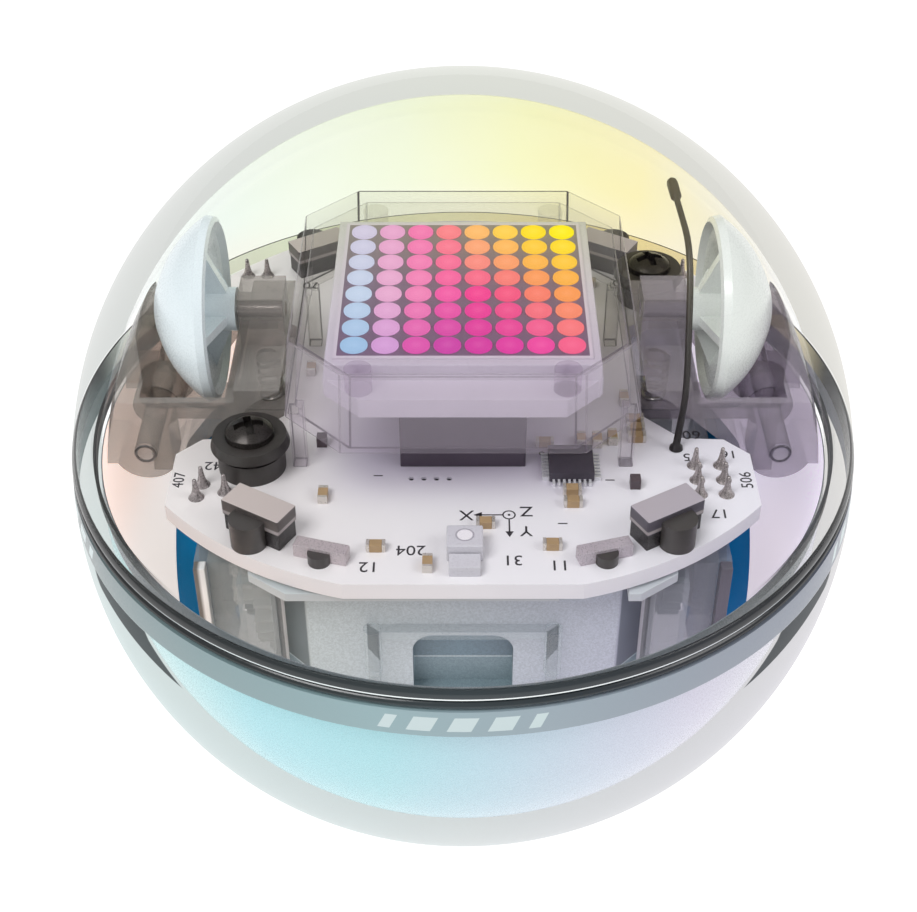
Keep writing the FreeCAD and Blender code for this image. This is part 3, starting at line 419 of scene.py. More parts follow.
def wall_material():
    """Clear polycarbonate: clear face on, with an even pale grey rim outside the inner sphere's outline,
    which is painted refraction of the thick wall's edge.
    Just under the belt a painted reflection of the dark seal shows in that rim, as a wedge on each side."""
    tree = Tree("clear_wall")
    facing = tree.facing()
    length = tree.node("ShaderNodeVectorMath", operation="LENGTH")
    tree.link(tree.position, length.inputs[0])
    outer = tree.math("GREATER_THAN", length.outputs["Value"], BALL - 0.2)
    rim = tree.product(tree.step(facing, RIM_START, RIM_FULL), outer)
    # The rim's tint is painted refraction: warmer higher up, cooler lower down.
    upper = across(tree, [(234, 235, 234), (236, 237, 233), (236, 235, 232)])
    lower = across(tree, [(229, 236, 236), (234, 236, 236), (233, 232, 235)])
    shade = tree.mix(tree.step(tree.z, -10.0, 10.0), lower, upper)
    tint = tree.mix(rim, WHITE, shade)
    front = tree.math("SUBTRACT", 1.0, tree.node("ShaderNodeNewGeometry").outputs["Backfacing"])
    rise = tree.product(tree.math("SUBTRACT", facing, WEDGE_AT), WEDGE_SLOPE)
    lowest = tree.math("ADD", rise, WEDGE_LOW)
    above = tree.step(tree.math("SUBTRACT", tree.z, lowest), -0.06, 0.06)
    below = tree.math("LESS_THAN", tree.z, BELT_LOW)
    # Painted reflection of the dark seal in the rim, as a dark wedge on each side.
    wedge = tree.product(tree.step(facing, WEDGE_START, WEDGE_START + 0.006),
                         tree.step(facing, WEDGE_END, WEDGE_END + 0.015, 1.0, 0.0),
                         above, below, outer, front)
    tint = tree.mix(wedge, tint, linear((92, 96, 98)))
    wave = tree.noise(9.0, 2.0)
    mirror = tree.principled(Base_Color=linear((250, 250, 250)), Roughness=tree.vary(wave, 0.02, 0.05),
                             Metallic=1.0, Normal=tree.bump(wave, 0.01, 0.2))
    fresnel = tree.node("ShaderNodeFresnel")
    fresnel.inputs["IOR"].default_value = 1.4
    amount = tree.product(tree.step(fresnel.outputs[0], 0.04, 1.0, 0.0, 0.25, smooth=False), front)
    tree.absorb((214, 218, 217), 12.0)
    return tree.surface(tree.over_clear(amount, mirror, tint))


def film_material():
    """Tinted film inside the dome: clear at the front; round the back its mint, yellow, peach and lilac are
    painted coloured light, paler where it turns away."""
    tree = Tree("dome_film")
    # Painted coloured light round the back of the dome.
    upper = across(tree, [(244, 250, 248), (246, 250, 242), (246, 249, 235), (248, 248, 221), (250, 245, 215),
                          (244, 241, 234)])
    lower = across(tree, [(250, 241, 235), (246, 249, 242), (250, 249, 240), (250, 245, 226),
                          (244, 240, 240)],
                   -INNER, INNER)
    color = tree.mix(tree.step(tree.z, 4.0, 15.0), lower, upper)
    back = tree.product(tree.step(tree.y, 2.0, 14.0), tree.step(tree.facing(), 0.6, 0.95, 1.0, 0.5))
    ripple = tree.vary(tree.noise(16.0, 2.0), 0.9, 1.0)
    tint = tree.mix(tree.product(back, ripple), WHITE, color)
    shader = tree.principled(Base_Color=tint, Roughness=0.15)
    return tree.surface(tree.over_clear(tree.product(back, 0.01), shader, tint))


def pearl_material(name, colors, glow, low=-26.0, high=28.0, outer=False):
    """Pearlescent coat: colour drifts across the ball, with a fine sparkle and a soft sheen, and a painted
    glow in its own colour. The outer face is grey behind the belt, a painted shade where it shows only
    through the seam. The inner face pales downwards, painted light against the shade lower down."""
    tree = Tree(name)
    drift = tree.product(tree.math("SUBTRACT", tree.noise(22.0, 2.0), 0.5), 9.0)
    place = tree.step(tree.math("ADD", tree.x, drift), low, high, smooth=False)
    color = tree.ramp(place, colors)
    if outer:
        # Painted shade: grey behind the belt.
        color = tree.mix(tree.step(tree.z, BELT_LOW, BELT_LOW + 0.2), color, linear((112, 118, 122)))
    else:
        # Painted light: paler lower down, to offset the shade there.
        pale = across(tree, [(250, 246, 242), (240, 230, 240)])
        color = tree.mix(tree.step(tree.z, -3.0, -12.0, 0.0, 0.8), color, pale)
    flakes = tree.noise(0.12, 2.0)
    # The emission is a painted glow; the coat is no lamp.
    shader = tree.principled(Base_Color=color, Roughness=tree.vary(flakes, 0.22, 0.34), Emission_Color=color,
                             Emission_Strength=glow, Normal=tree.bump(flakes, 0.002))
    return tree.surface(shader)


def belt_material():
    """Satin printed band with groups of slanting pale bars."""
    tree = Tree("belt_print")
    groups, group_half, pitch, tall = 5, 6.4, 3.2, 0.72
    base = across(tree, [(115, 126, 128), (126, 150, 154), (142, 170, 175), (147, 162, 172), (140, 148, 162),
                         (122, 128, 144)], -INNER, INNER)
    way = tree.product(tree.math("ARCTAN2", tree.x, tree.product(tree.y, -1.0)), BALL)
    height = tree.math("SUBTRACT", tree.z, (BELT_LOW + BELT_HIGH) / 2)
    slant = tree.math("SUBTRACT", way, tree.product(height, 0.45))
    spacing = 2 * math.pi * BALL / groups
    nearest = tree.product(tree.math("ROUND", tree.math("DIVIDE", slant, spacing)), spacing)
    along = tree.math("SUBTRACT", slant, nearest)
    cycle = tree.math("FRACT", tree.math("ADD", tree.math("DIVIDE", along, pitch), 100.5))
    mark = tree.product(tree.math("LESS_THAN", tree.math("ABSOLUTE", along), group_half),
                        tree.math("LESS_THAN", tree.math("ABSOLUTE", tree.math("SUBTRACT", cycle, 0.5)), 0.3),
                        tree.math("LESS_THAN", tree.math("ABSOLUTE", height), tall))
    color = tree.mix(mark, base, linear((196, 212, 214)))
    fine = tree.noise(0.2)
    shader = tree.principled(Base_Color=color, Roughness=tree.vary(fine, 0.3, 0.42), Coat_Weight=0.3,
                             Normal=tree.bump(fine, 0.003))
    return tree.surface(shader)


def seam_material(name, inside):
    """Glossy dark seal. Outside it has a painted highlight, a bright glowing line where dome and seal meet,
    at the front.
    Inside, towards the back, it is painted pale in the tinted film's colours and glows: painted light on an
    unlit face."""
    tree = Tree(name)
    fine = tree.noise(0.3)
    color = across(tree, [(20, 20, 21), (34, 40, 42), (44, 54, 58), (36, 40, 46), (20, 20, 24)],
                   -INNER, INNER)
    if inside:
        # Painted light: the back of the inner face is pale and glows.
        pale = tree.step(tree.y, 5.0, 15.0)
        glow_color = across(tree, [(232, 240, 232), (240, 240, 214), (248, 238, 196), (244, 232, 196)])
        glow = tree.product(pale, 0.85)
        color = tree.mix(pale, color, linear((120, 118, 110)))
    else:
        # Painted highlight: a thin bright line that glows, along the front.
        shine = [(60, 62, 64), (196, 204, 206), (226, 232, 232), (200, 204, 210), (60, 62, 66)]
        glow_color = across(tree, shine, -35, 35)
        line = tree.product(tree.math("COMPARE", tree.z, SEAM_HIGHLIGHT_HEIGHT, 0.09), tree.step(tree.y, -12.0, -24.0))
        glow = tree.product(line, 0.4)
        color = tree.mix(line, color, glow_color)
    shader = tree.principled(Base_Color=color, Roughness=tree.vary(fine, 0.16, 0.24), Coat_Weight=0.15,
                             Emission_Color=glow_color, Emission_Strength=glow,
                             Normal=tree.bump(fine, 0.0005))
    return tree.surface(shader)


def lip_material():
    """Inner edge of the seal: dark at the two sides, clear at the front and back."""
    tree = Tree("seal_lip")
    fine = tree.noise(0.3)
    color = across(tree, [(24, 24, 25), (64, 66, 72)])
    shader = tree.principled(Base_Color=color, Roughness=tree.vary(fine, 0.3, 0.4))
    side = tree.step(tree.math("ABSOLUTE", tree.x), 23.0, 31.0)
    amount = tree.product(side, tree.step(tree.y, 12.0, 4.0), 0.9)
    return tree.surface(tree.over_clear(amount, shader))


def make_ball():
    """Dome with its film, bowl with its pearl lining, belt, and the seal between dome and bowl."""
    clear = wall_material()
    dome = arc(BALL, SEAM_HIGH + GAP, BALL, 72) + arc(INNER, INNER, SEAM_HIGH + GAP, 72)
    wall = add_object("dome_wall", turned("dome_wall", dome), clear, "shell", ["upper_shell"])
    film = (arc(INNER - 0.04, SEAM_HIGH + GAP, INNER - 0.04, 60)
            + arc(INNER - 0.08, INNER - 0.08, SEAM_HIGH + GAP, 60))
    tint = add_object("dome_film", turned("dome_film", film), film_material(), "shell")
    for part in (wall, tint):
        part.visible_shadow = False

    bowl = (arc(BALL - 0.4, BELT_HIGH, BELT_LOW, 8) + arc(BALL, BELT_LOW, -BALL, 84)
            + arc(INNER, -INNER, BELT_HIGH, 84))
    add_object("bowl_wall", turned("bowl_wall", bowl), clear, "shell", ["lower_shell"])
    sea = [(170, 206, 208), (156, 206, 214), (162, 208, 215), (177, 204, 216), (188, 198, 213),
           (195, 192, 209), (194, 192, 204)]
    shell_pink = [(247, 221, 209), (249, 233, 223), (238, 232, 228), (228, 221, 229), (213, 204, 217)]
    # The glow strengths are painted light, strongest on the inner face.
    outside = pearl_material("pearl_outside", sea, 0.2, outer=True)
    inside = pearl_material("pearl_inside", shell_pink, 0.68, -32.0, 32.0)
    lining = (arc(INNER - 0.03, BELT_HIGH, -INNER + 0.03, 72)
              + arc(INNER - 0.13, -INNER + 0.13, BELT_HIGH, 72))

    def side_of(face):
        return 0 if face.normal.dot(face.calc_center_median()) > 0 else 1

    add_object("pearl_lining", turned("pearl_lining", lining, side_of), [outside, inside], "shell")

    skin = arc(BALL, BELT_LOW + 0.03, BELT_HIGH, 10)
    back = arc(BALL - 0.37, BELT_HIGH, BELT_LOW + 0.03, 10)
    add_object("belt", turned("belt", skin + back), belt_material(), "shell", ["belt_band"])

    seal_inner = 35.7
    profile = [(seal_inner, SEAM_LOW), (35.9, SEAM_LOW), (36.02, 4.2), (36.18, 4.38), (36.24, 4.55),
               (36.18, 4.74), (36.02, 4.88), (35.86, 4.95), (36.0, 5.04), (36.12, 5.2), (36.17, 5.42),
               (36.12, 5.66), (36.02, 5.9), (35.92, 6.04), (35.86, SEAM_HIGH), (seal_inner, SEAM_HIGH)]

    def which(face):
        centre = face.calc_center_median()
        return 0 if math.hypot(centre.x, centre.y) / MM > seal_inner + 0.02 else 1

    add_object("seam_seal", turned("seam_seal", profile, which),
               [seam_material("seal_outside", False), seam_material("seal_inside", True)], "seam_carrier",
               ["seam_ring"])
    lip = [(INNER, SEAM_LOW), (INNER + 0.3, SEAM_LOW), (INNER + 0.3, SEAM_LOW + 1.2), (INNER, SEAM_LOW + 1.2)]
    add_object("seam_lip", turned("seam_lip", lip), lip_material(), "seam_carrier")
    window = [(INNER + 0.35, SEAM_LOW), (seal_inner - 0.05, SEAM_LOW), (seal_inner - 0.05, SEAM_HIGH),
              (INNER + 0.35, SEAM_HIGH)]
    add_object("seam_window", turned("seam_window", window), clear, "seam_carrier")


make_ball()


# ---------------------------------------------------------------- finishes of the CAD parts

BOARD_TOP = 7.5
LIGHT_PITCH = 2.6
GRID_MIDDLE_Y = -0.9
FACE_HALF = 10.5
LAMP_MIDDLE = (0.15, -21.6)


def led_material():
    """Each dot takes one colour from its place in the 8 by 8 grid, with faint rings round its middle."""
    tree = Tree("led_light")
    column = tree.math("ADD", tree.math("DIVIDE", tree.x, LIGHT_PITCH), 4.0)
    row = tree.math("ADD", tree.math("DIVIDE", tree.math("SUBTRACT", tree.y, GRID_MIDDLE_Y), LIGHT_PITCH),
                    4.0)
    u = tree.math("DIVIDE", tree.math("FLOOR", column), 7.0)
    v = tree.math("DIVIDE", tree.math("FLOOR", row), 7.0)
    back = tree.ramp(u, [(206, 198, 222), (228, 164, 204), (240, 122, 176), (246, 130, 138), (250, 186, 108),
                         (252, 206, 78), (253, 222, 34), (254, 234, 14)])
    mid = tree.ramp(u, [(196, 212, 232), (230, 172, 206), (240, 136, 184), (243, 96, 166), (243, 70, 146),
                        (244, 92, 130), (247, 132, 104), (249, 160, 84)])
    front = tree.ramp(u, [(160, 196, 226), (212, 160, 212), (222, 88, 172), (206, 70, 166), (214, 62, 160),
                          (224, 64, 160), (238, 76, 160), (246, 100, 140)])
    color = tree.mix(tree.step(v, 0.0, 0.45, smooth=False), front, mid)
    color = tree.mix(tree.step(v, 0.45, 1.0, smooth=False), color, back)
    radius = tree.reach(*(tree.product(tree.math("SUBTRACT", tree.math("FRACT", place), 0.5), LIGHT_PITCH)
                          for place in (column, row)))
    rings = tree.math("SINE", tree.product(radius, 24.0))
    glow = tree.math("ADD", tree.product(rings, 0.03), tree.step(radius, 0.0, 1.2, 1.05, 0.99))
    lit = tree.mix(tree.step(radius, 0.0, 0.8, 0.03, 0.0), color, WHITE)
    dim = tree.mix(1.0, lit, (0.12, 0.12, 0.12, 1), "MULTIPLY")
    shader = tree.principled(Base_Color=dim, Roughness=0.5, Emission_Color=lit, Emission_Strength=glow)
    shader.inputs["Specular IOR Level"].default_value = 0.2
    return tree.surface(shader)


def face_material():
    """Dark print round the lights, with a white border."""
    tree = Tree("display_print")
    color = across(tree, [(134, 110, 134), (140, 124, 140), (160, 154, 144)], -12, 11, axis="y")
    away_y = tree.math("ABSOLUTE", tree.math("SUBTRACT", tree.y, GRID_MIDDLE_Y))
    away = tree.math("MAXIMUM", tree.math("ABSOLUTE", tree.x), away_y)
    color = tree.mix(tree.math("GREATER_THAN", away, FACE_HALF), color, linear((232, 226, 232)))
    fine = tree.noise(0.15)
    shader = tree.principled(Base_Color=color, Roughness=tree.vary(fine, 0.35, 0.5),
                             Normal=tree.bump(fine, 0.003))
    return tree.surface(shader)


def weight_material():
    """Cast weight with a fine grain: pale on its outer face, with painted shade making it darker in the
    recess and round the sides.
    """
    tree = Tree("cast_weight")
    depth = tree.step(tree.math("ABSOLUTE", tree.y), 22.2, 22.4)
    pale = across(tree, [(184, 197, 199), (184, 190, 202)], -16, 16)
    # Painted shade on the sides and in the recess; below height -6 it is lighter, with a thin pale line at
    # -6.
    dark = across(tree, [(112, 122, 124), (124, 146, 158), (108, 112, 124)], -16, 16)
    dark = tree.mix(tree.step(tree.z, -5.9, -6.1), dark, linear((138, 158, 166)))
    dark = tree.mix(tree.math("COMPARE", tree.z, -6.0, 0.09), dark, linear((184, 198, 204)))
    grain = tree.noise(0.16, 4.0)
    base = tree.mix(1.0, tree.mix(depth, dark, pale),
                    tree.mix(tree.vary(grain, 0.0, 1.0), linear((232, 232, 232)), WHITE), "MULTIPLY")
    shader = tree.principled(Base_Color=base, Metallic=0.2, Roughness=tree.vary(grain, 0.38, 0.5),
                             Normal=tree.bump(grain, 0.01))
    return tree.surface(shader)


def board_material():
    """Satin white solder mask, faintly lilac under the display with painted shade and a painted glow of its
    lights.
    """
    tree = Tree("board_mask")
    base = across(tree, [(238, 232, 230), (238, 236, 240), (234, 232, 242)])
    # Painted shade under the display, tinted lilac by a painted glow of its lights.
    display_shade_and_glow = tree.product(tree.step(tree.y, -18.0, -9.0), tree.step(tree.math("ABSOLUTE", tree.x), 15.0, 7.0))
    base = tree.mix(display_shade_and_glow, base, linear((204, 198, 214)))
    weave = tree.noise(0.25, 4.0)
    shader = tree.principled(Base_Color=base, Roughness=tree.vary(weave, 0.28, 0.4), Coat_Weight=0.25,
                             Normal=tree.bump(weave, 0.003))
    return tree.surface(shader)


def can_material():
    """Brushed can with painted light: bright on top, dark down its sides, and a painted highlight on its
    lighter lip.
    """
    tree = Tree("brushed_can")
    # Painted light: the top lit, the sides in shade.
    top = across(tree, [(208, 196, 192), (188, 180, 190)], -18, 18)
    side = across(tree, [(92, 86, 84), (88, 84, 94)], -18, 18)
    # Painted highlight: a lighter band round the lip.
    lip = tree.product(tree.step(tree.z, 9.28, 9.36, smooth=False), tree.step(tree.z, 9.7, 9.6, smooth=False))
    side = tree.mix(lip, side, linear((168, 160, 160)))
    brushed = tree.noise(0.1, 4.0, (0.12, 1, 1))
    shader = tree.principled(Base_Color=tree.mix(tree.step(tree.upward, 0.5, 0.8), side, top), Metallic=0.35,
                             Roughness=tree.vary(brushed, 0.3, 0.42), Normal=tree.bump(brushed, 0.003))
    return tree.surface(shader)


def light_material():
    """White moulded lamp with a round lens in its top."""
    tree = Tree("status_lamp")
    away = tree.reach(tree.math("SUBTRACT", tree.x, LAMP_MIDDLE[0]),
                      tree.math("SUBTRACT", tree.y, LAMP_MIDDLE[1]))
    high = tree.math("GREATER_THAN", tree.z, 9.0)
    lens = tree.product(tree.step(away, 0.66, 0.6), high)
    edge = tree.product(tree.math("COMPARE", away, 0.72, 0.07), high)
    color = tree.mix(lens, linear((204, 202, 210)), linear((238, 234, 240)))
    color = tree.mix(edge, color, linear((168, 164, 174)))
    fine = tree.noise(0.2)
    shader = tree.principled(Base_Color=color, Roughness=tree.vary(fine, 0.25, 0.35), Coat_Weight=0.5,
                             Normal=tree.bump(fine, 0.002))
    return tree.surface(shader)


BOARD_WHITE = board_material()
FRAME_WHITE = solid("white_moulding", [(232, 236, 236), (236, 236, 238), (228, 228, 236)], 0.4, grain=0.2,
                    depth=0.004, vary=0.05)
# The left trim is grey beside the tyre and white inwards; the right one is grey throughout.
TRIM = solid("gearbox_trim", [(104, 102, 98), (104, 102, 98), (228, 232, 232), (228, 232, 232), (96, 94, 104),
                              (96, 94, 104)], 0.35, grain=0.2, depth=0.004, vary=0.05, span=(-22.8, -21.3))
TRAY_GREY = solid("grey_tray", [(186, 190, 192)], 0.5, grain=0.3, depth=0.008, vary=0.1)
BALLAST = weight_material()
SMOKE = see_through("smoke_plastic", [(192, 188, 182), (188, 184, 180), (194, 188, 194), (194, 186, 198)],
                    0.22, 0.1, absorb=((150, 146, 144), 30.0),
                    filter_colors=[(240, 237, 234), (240, 237, 242)], edge=0.5, outline=(64, 60, 60))
SMOKE_EDGE = see_through("smoke_edge", [(92, 88, 85), (88, 86, 88), (86, 80, 94)], 0.45, 0.08, edge=0.3)
HAZE = see_through("hazy_cover", [(178, 190, 190), (176, 180, 192)], 0.3, 0.08,
                   absorb=((170, 180, 178), 60.0), edge=0.2)
HAZE_EDGE = see_through("cover_edge", [(104, 116, 118), (104, 106, 118)], 0.45, 0.08, edge=0.3)
BRACKET = see_through("clear_bracket", [(186, 198, 202)], 0.12, 0.06, edge=0.2)
BRACKET_EDGE = see_through("bracket_edge", [(84, 98, 110)], 0.6, 0.06, edge=0.2)
# Faintly lilac towards the front, in the cover, its tint and its edges: a painted glow of the display's
# lights.
CLEAR = see_through("clear_cover", [(226, 217, 228), (230, 230, 228)], 0.1, 0.05,
                    absorb=((186, 182, 188), 42.0), filter_colors=[(250, 248, 251), (253, 253, 251)],
                    axis="y", span=(-15, 8), edge=0.1, top=0.08)
CLEAR_EDGE = see_through("clear_edge", [(146, 134, 148), (160, 158, 156)], 0.38, 0.05, axis="y",
                         span=(-15, 8), edge=0.3)
PIN_RING = solid("pin_ring", [(112, 108, 106), (104, 98, 110)], 0.25, metallic=0.5, grain=0.1, depth=0.001)
PIN_CLEAR = see_through("pin_end", [(206, 200, 198), (196, 192, 204)], 0.12, 0.1, edge=0.1)
PIN_EDGE = see_through("pin_rim", [(70, 68, 68), (72, 68, 78)], 0.7, 0.1, edge=0.2)
SPACER = solid("spacer_moulding", [(196, 204, 204), (196, 200, 208)], 0.4, grain=0.2, depth=0.004, vary=0.05)
IDLER = solid("idler_plastic", [(226, 238, 243), (232, 236, 230)], 0.28, grain=0.14, depth=0.0005, vary=0.01,
              Coat_Weight=0.3)
TYRE = solid("tyre_rubber", [(0, 98, 146), (0, 104, 156), (0, 98, 148)], 0.6, grain=0.25, depth=0.012,
             vary=0.12, Specular_IOR_Level=0.04)
HUB = solid("hub_plastic", [(92, 96, 98)], 0.4, grain=0.2, depth=0.004)
GEAR = solid("gear_plastic", [(222, 222, 218)], 0.4, grain=0.2, depth=0.004, vary=0.06)
STEEL = solid("turned_steel", [(190, 188, 186)], 0.28, metallic=1.0, grain=0.08, depth=0.002,
              stretch=(1, 1, 6))
COPPER = solid("wound_copper", [(196, 120, 74)], 0.3, metallic=1.0, grain=0.12, depth=0.01)
FERRITE = solid("ferrite_plate", [(64, 62, 64)], 0.6, grain=0.12, depth=0.006)
WRAP = solid("battery_wrap", [(178, 186, 196)], 0.3, grain=0.6, depth=0.01, vary=0.1, Coat_Weight=0.3)
RUBBER = solid("grommet_rubber", [(56, 52, 50)], 0.42, grain=0.16, depth=0.006, vary=0.15)
SCREW = solid("black_screw", [(58, 54, 52)], 0.3, metallic=0.6, grain=0.1, depth=0.003)
BLACK = solid("sensor_black", [(46, 43, 44)], 0.3, grain=0.1, depth=0.003, vary=0.15)
LENS = solid("lens_black", [(64, 60, 59)], 0.38, grain=0.4, depth=0.001, vary=0.1, Coat_Weight=0.15)
CAN = can_material()
EMITTER = solid("emitter_plastic", [(196, 184, 184), (186, 178, 190)], 0.3, metallic=0.3, grain=0.12,
                depth=0.003, vary=0.1)
LIGHT = solid("light_window", [(206, 204, 212)], 0.3, grain=0.2, depth=0.003, vary=0.05, Coat_Weight=0.5)
CHIP = solid("chip_epoxy", [(70, 64, 76)], 0.55, grain=0.08, depth=0.006, vary=0.12)
PIN = solid("tinned_pins", [(232, 232, 236)], 0.3, metallic=0.3, grain=0.08, depth=0.002)
TAN = solid("ceramic_tan", [(176, 148, 112)], 0.4, grain=0.1, depth=0.003, vary=0.15)
TIN = solid("tin_caps", [(216, 210, 204)], 0.3, metallic=0.6, grain=0.08, depth=0.004)
DARK_CHIP = solid("resistor_black", [(84, 72, 78)], 0.4, grain=0.1, depth=0.003)
SOLDER = solid("solder_joints", [(176, 168, 168)], 0.28, metallic=0.7, grain=0.2, depth=0.01, vary=0.2)
WHIP = solid("antenna_black", [(38, 34, 37), (54, 50, 46), (92, 86, 68)], 0.38, grain=0.15, depth=0.003,
             vary=0.15, axis="z", span=(11, 25))
CONNECTOR = solid("connector_plum", [(74, 64, 78)], 0.4, grain=0.15, depth=0.004, vary=0.1)
# The display's front is greyer and faintly lilac, a painted glow of its lights.
DISPLAY = solid("display_plastic", [(218, 214, 221), (234, 230, 236), (228, 228, 224)], 0.32, grain=0.3,
                depth=0.003, vary=0.04, axis="y", span=(-16, 10))

paint(BOARD_WHITE, "main_board")
paint(FRAME_WHITE, *both("side_frame"))
paint(TRIM, "gearbox_trims")
paint(SPACER, "spacer_sheet")
paint(TRAY_GREY, "base_tray")
paint(BALLAST, "ballast_front", "ballast_rear")
paint(SMOKE, "arm_brackets", *both("arm"))
paint(HAZE, "gearbox_covers")
paint(BRACKET, "front_bracket")
paint(CLEAR, "display_cover", "display_bosses")
paint(IDLER, *both("idler_wheel"))
paint(TYRE, *both("tyre"))
paint(HUB, *both("drive_wheel"))
paint(GEAR, *both("compound_gear"), *both("motor_pinion"))
paint(PIN_CLEAR, "pivot_pins")
paint(STEEL, "wheel_axles", "gear_pins", "motors", "base_screws", *both("idler_axle"))
paint(COPPER, "charging_coil")
paint(FERRITE, "coil_ferrite")
paint(WRAP, "battery")
paint(RUBBER, "grommets")
paint(SCREW, "grommet_screws")
paint(BLACK, "ir_receiver_bases")
paint(LENS, "ir_lenses")
paint(CAN, "ir_receiver_cans")
paint(EMITTER, "ir_emitters")
paint(light_material(), "status_light")
paint(LIGHT, "light_sensor")
paint(CHIP, "microcontroller")
paint(PIN, "microcontroller_pins")
paint(TAN, "capacitors")
paint(TIN, "capacitor_ends")
paint(DARK_CHIP, "resistors")
paint(CONNECTOR, "display_connector")
paint(DISPLAY, "display_body")
paint(face_material(), "display_face")
paint(led_material(), "led_dots")

# How wide the rounded edge of each node is.
EDGE_WIDTHS = {"spacer_sheet": 0.1, "gearbox_trims": 0.08, "ir_receiver_cans": 0.12,
               "ir_receiver_bases": 0.08, "ir_emitters": 0.1, "status_light": 0.12, "light_sensor": 0.1,
               "microcontroller": 0.06, "capacitor_ends": 0.05, "capacitors": 0.04, "resistors": 0.05,
               "display_body": 0.15, "display_connector": 0.1, "ballast_front": 0.15, "ballast_rear": 0.15}
CLEAR_EDGES = {"front_bracket": (0.14, BRACKET_EDGE), "gearbox_covers": (0.12, HAZE_EDGE),
               "arm_left": (0.14, SMOKE_EDGE), "arm_right": (0.14, SMOKE_EDGE),
               "arm_brackets": (0.14, SMOKE_EDGE), "display_cover": (0.12, CLEAR_EDGE),
               "display_bosses": (0.12, CLEAR_EDGE), "pivot_pins": (0.14, PIN_EDGE)}
for node_name, edge_width in EDGE_WIDTHS.items():
    soften(node_name, edge_width)
for node_name, (edge_width, edge_finish) in CLEAR_EDGES.items():
    soften(node_name, edge_width, edge_finish)


# ---------------------------------------------------------------- springs and antenna

def make_spring(name):
    """A coil spring in the place of the CAD's."""
    low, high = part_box("arm_spring_" + name)
    x = (low.x + high.x) / 2 / MM
    y = (low.y + high.y) / 2 / MM
    bottom, top = low.z / MM, high.z / MM
    wire, radius, turns, end_turns = 0.18, 1.05, 6, 0.6
    steps = turns * 28
    path = []
    for index in range(steps + 1):
        share = index / steps
        angle = 2 * math.pi * turns * share
        climb = min(1.0, max(0.0, (share * turns - end_turns) / (turns - 2 * end_turns)))
        z = bottom + wire + (top - bottom - 2 * wire) * climb
        path.append((x + radius * math.cos(angle), y + radius * math.sin(angle), z))
    coil = add_object("coil_spring_" + name, tube("coil_spring_" + name, path, wire, 10), STEEL, "chassis",
                      ["arm_spring_" + name])
    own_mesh(coil)


make_spring("left")
make_spring("right")


def make_antenna():
    """A whip with a soft bend and a moulded tip."""
    corners = [Vector((19.0, -8.2, 8.0)), Vector((19.5, -7.7, 13.5)), Vector((19.8, -0.6, 23.4)),
               Vector((18.9, 9.0, 25.0))]
    path = [Vector((19.0, -8.25, 7.5)), Vector((19.0, -8.22, 7.8)), corners[0]]
    radii = [0.62, 0.58, 0.34]
    for index in (1, 2):
        before, here, after = corners[index - 1:index + 2]
        start, end = here.lerp(before, 0.35), here.lerp(after, 0.3)
        for step in range(7):
            share = step / 6
            path.append(start.lerp(here, share).lerp(here.lerp(end, share), share))
            radii.append(0.29)
    bend, tip = corners[2], corners[3]
    path += [bend.lerp(tip, share) for share in (0.5, 0.7, 0.72, 0.75, 0.93, 0.97, 1.0)]
    radii += [0.28, 0.28, 0.36, 0.5, 0.52, 0.46, 0.26]
    add_object("whip_antenna", tube("whip_antenna", path, radii, 20), WHIP, "chassis",
               ["antenna"], 60.0)


make_antenna()


# ---------------------------------------------------------------- solder joints and board marks

# Wire ends on the board, as x, y.
JOINTS = [(-22.9, -14.9), (-22.6, -13.2), (-20.5, -14.2), (20.4, -10.6), (20.4, -12.6), (20.4, -14.5),
          (22.7, -10.6), (22.7, -12.6), (22.7, -14.5), (-22.2, 20.4), (-20.2, 20.4), (20.6, 20.4),
          (22.6, 20.4)]


def spun_part(x, y, outline, sides=20):
    """Points and faces of a closed turned shape standing at x, y; outline is (radius, z) from foot to tip."""
    points, faces = [], []
    for radius, z in outline:
        for side in range(sides):
            angle = 2 * math.pi * side / sides
            points.append((x + radius * math.cos(angle), y + radius * math.sin(angle), z))
    for ring in range(len(outline) - 1):
        for side in range(sides):
            after = (side + 1) % sides
            faces.append([ring * sides + side, ring * sides + after,
                          (ring + 1) * sides + after, (ring + 1) * sides + side])
    faces.append(list(range(sides)))
    faces.append([len(points) - sides + side for side in range(sides)])
    return points, faces


def make_solder_joints():
    """Fillets of solder drawn up round a wire end."""
    outline = [(0.7, BOARD_TOP), (0.64, 7.58), (0.5, 7.78), (0.36, 8.1), (0.27, 8.5), (0.21, 9.0),
               (0.17, 9.42), (0.1, 9.5)]
    joints = [spun_part(x, y, outline) for x, y in JOINTS]
    add_object("solder_joints", joined("solder_joints", joints), SOLDER, "chassis", ["solder_pins"],
               50.0)


make_solder_joints()


def make_pin_rings():
    """Bright rim of each arm pin, in front of the arm."""
    around, section = 40, 8
    low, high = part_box("pivot_pins")
    y, z = low.y / MM - 0.02, (low.z + high.z) / 2 / MM
    reach = high.x / MM - 1.0
    for name, x in (("left", -reach), ("right", reach)):
        points, faces = [], []
        for i in range(around):
            a = 2 * math.pi * i / around
            for b in range(section):
                r = 0.86 + 0.13 * math.cos(math.pi * b / 4)
                points.append((x + r * math.cos(a), y + 0.1 * math.sin(math.pi * b / 4), z + r * math.sin(a)))
        for i in range(around):
            for b in range(section):
                j, c = (i + 1) % around, (b + 1) % section
                faces.append([i * section + b, i * section + c, j * section + c, j * section + b])
        add_object("pin_ring_" + name, mesh_of("pin_ring_" + name, points, faces), PIN_RING, "chassis")


make_pin_rings()


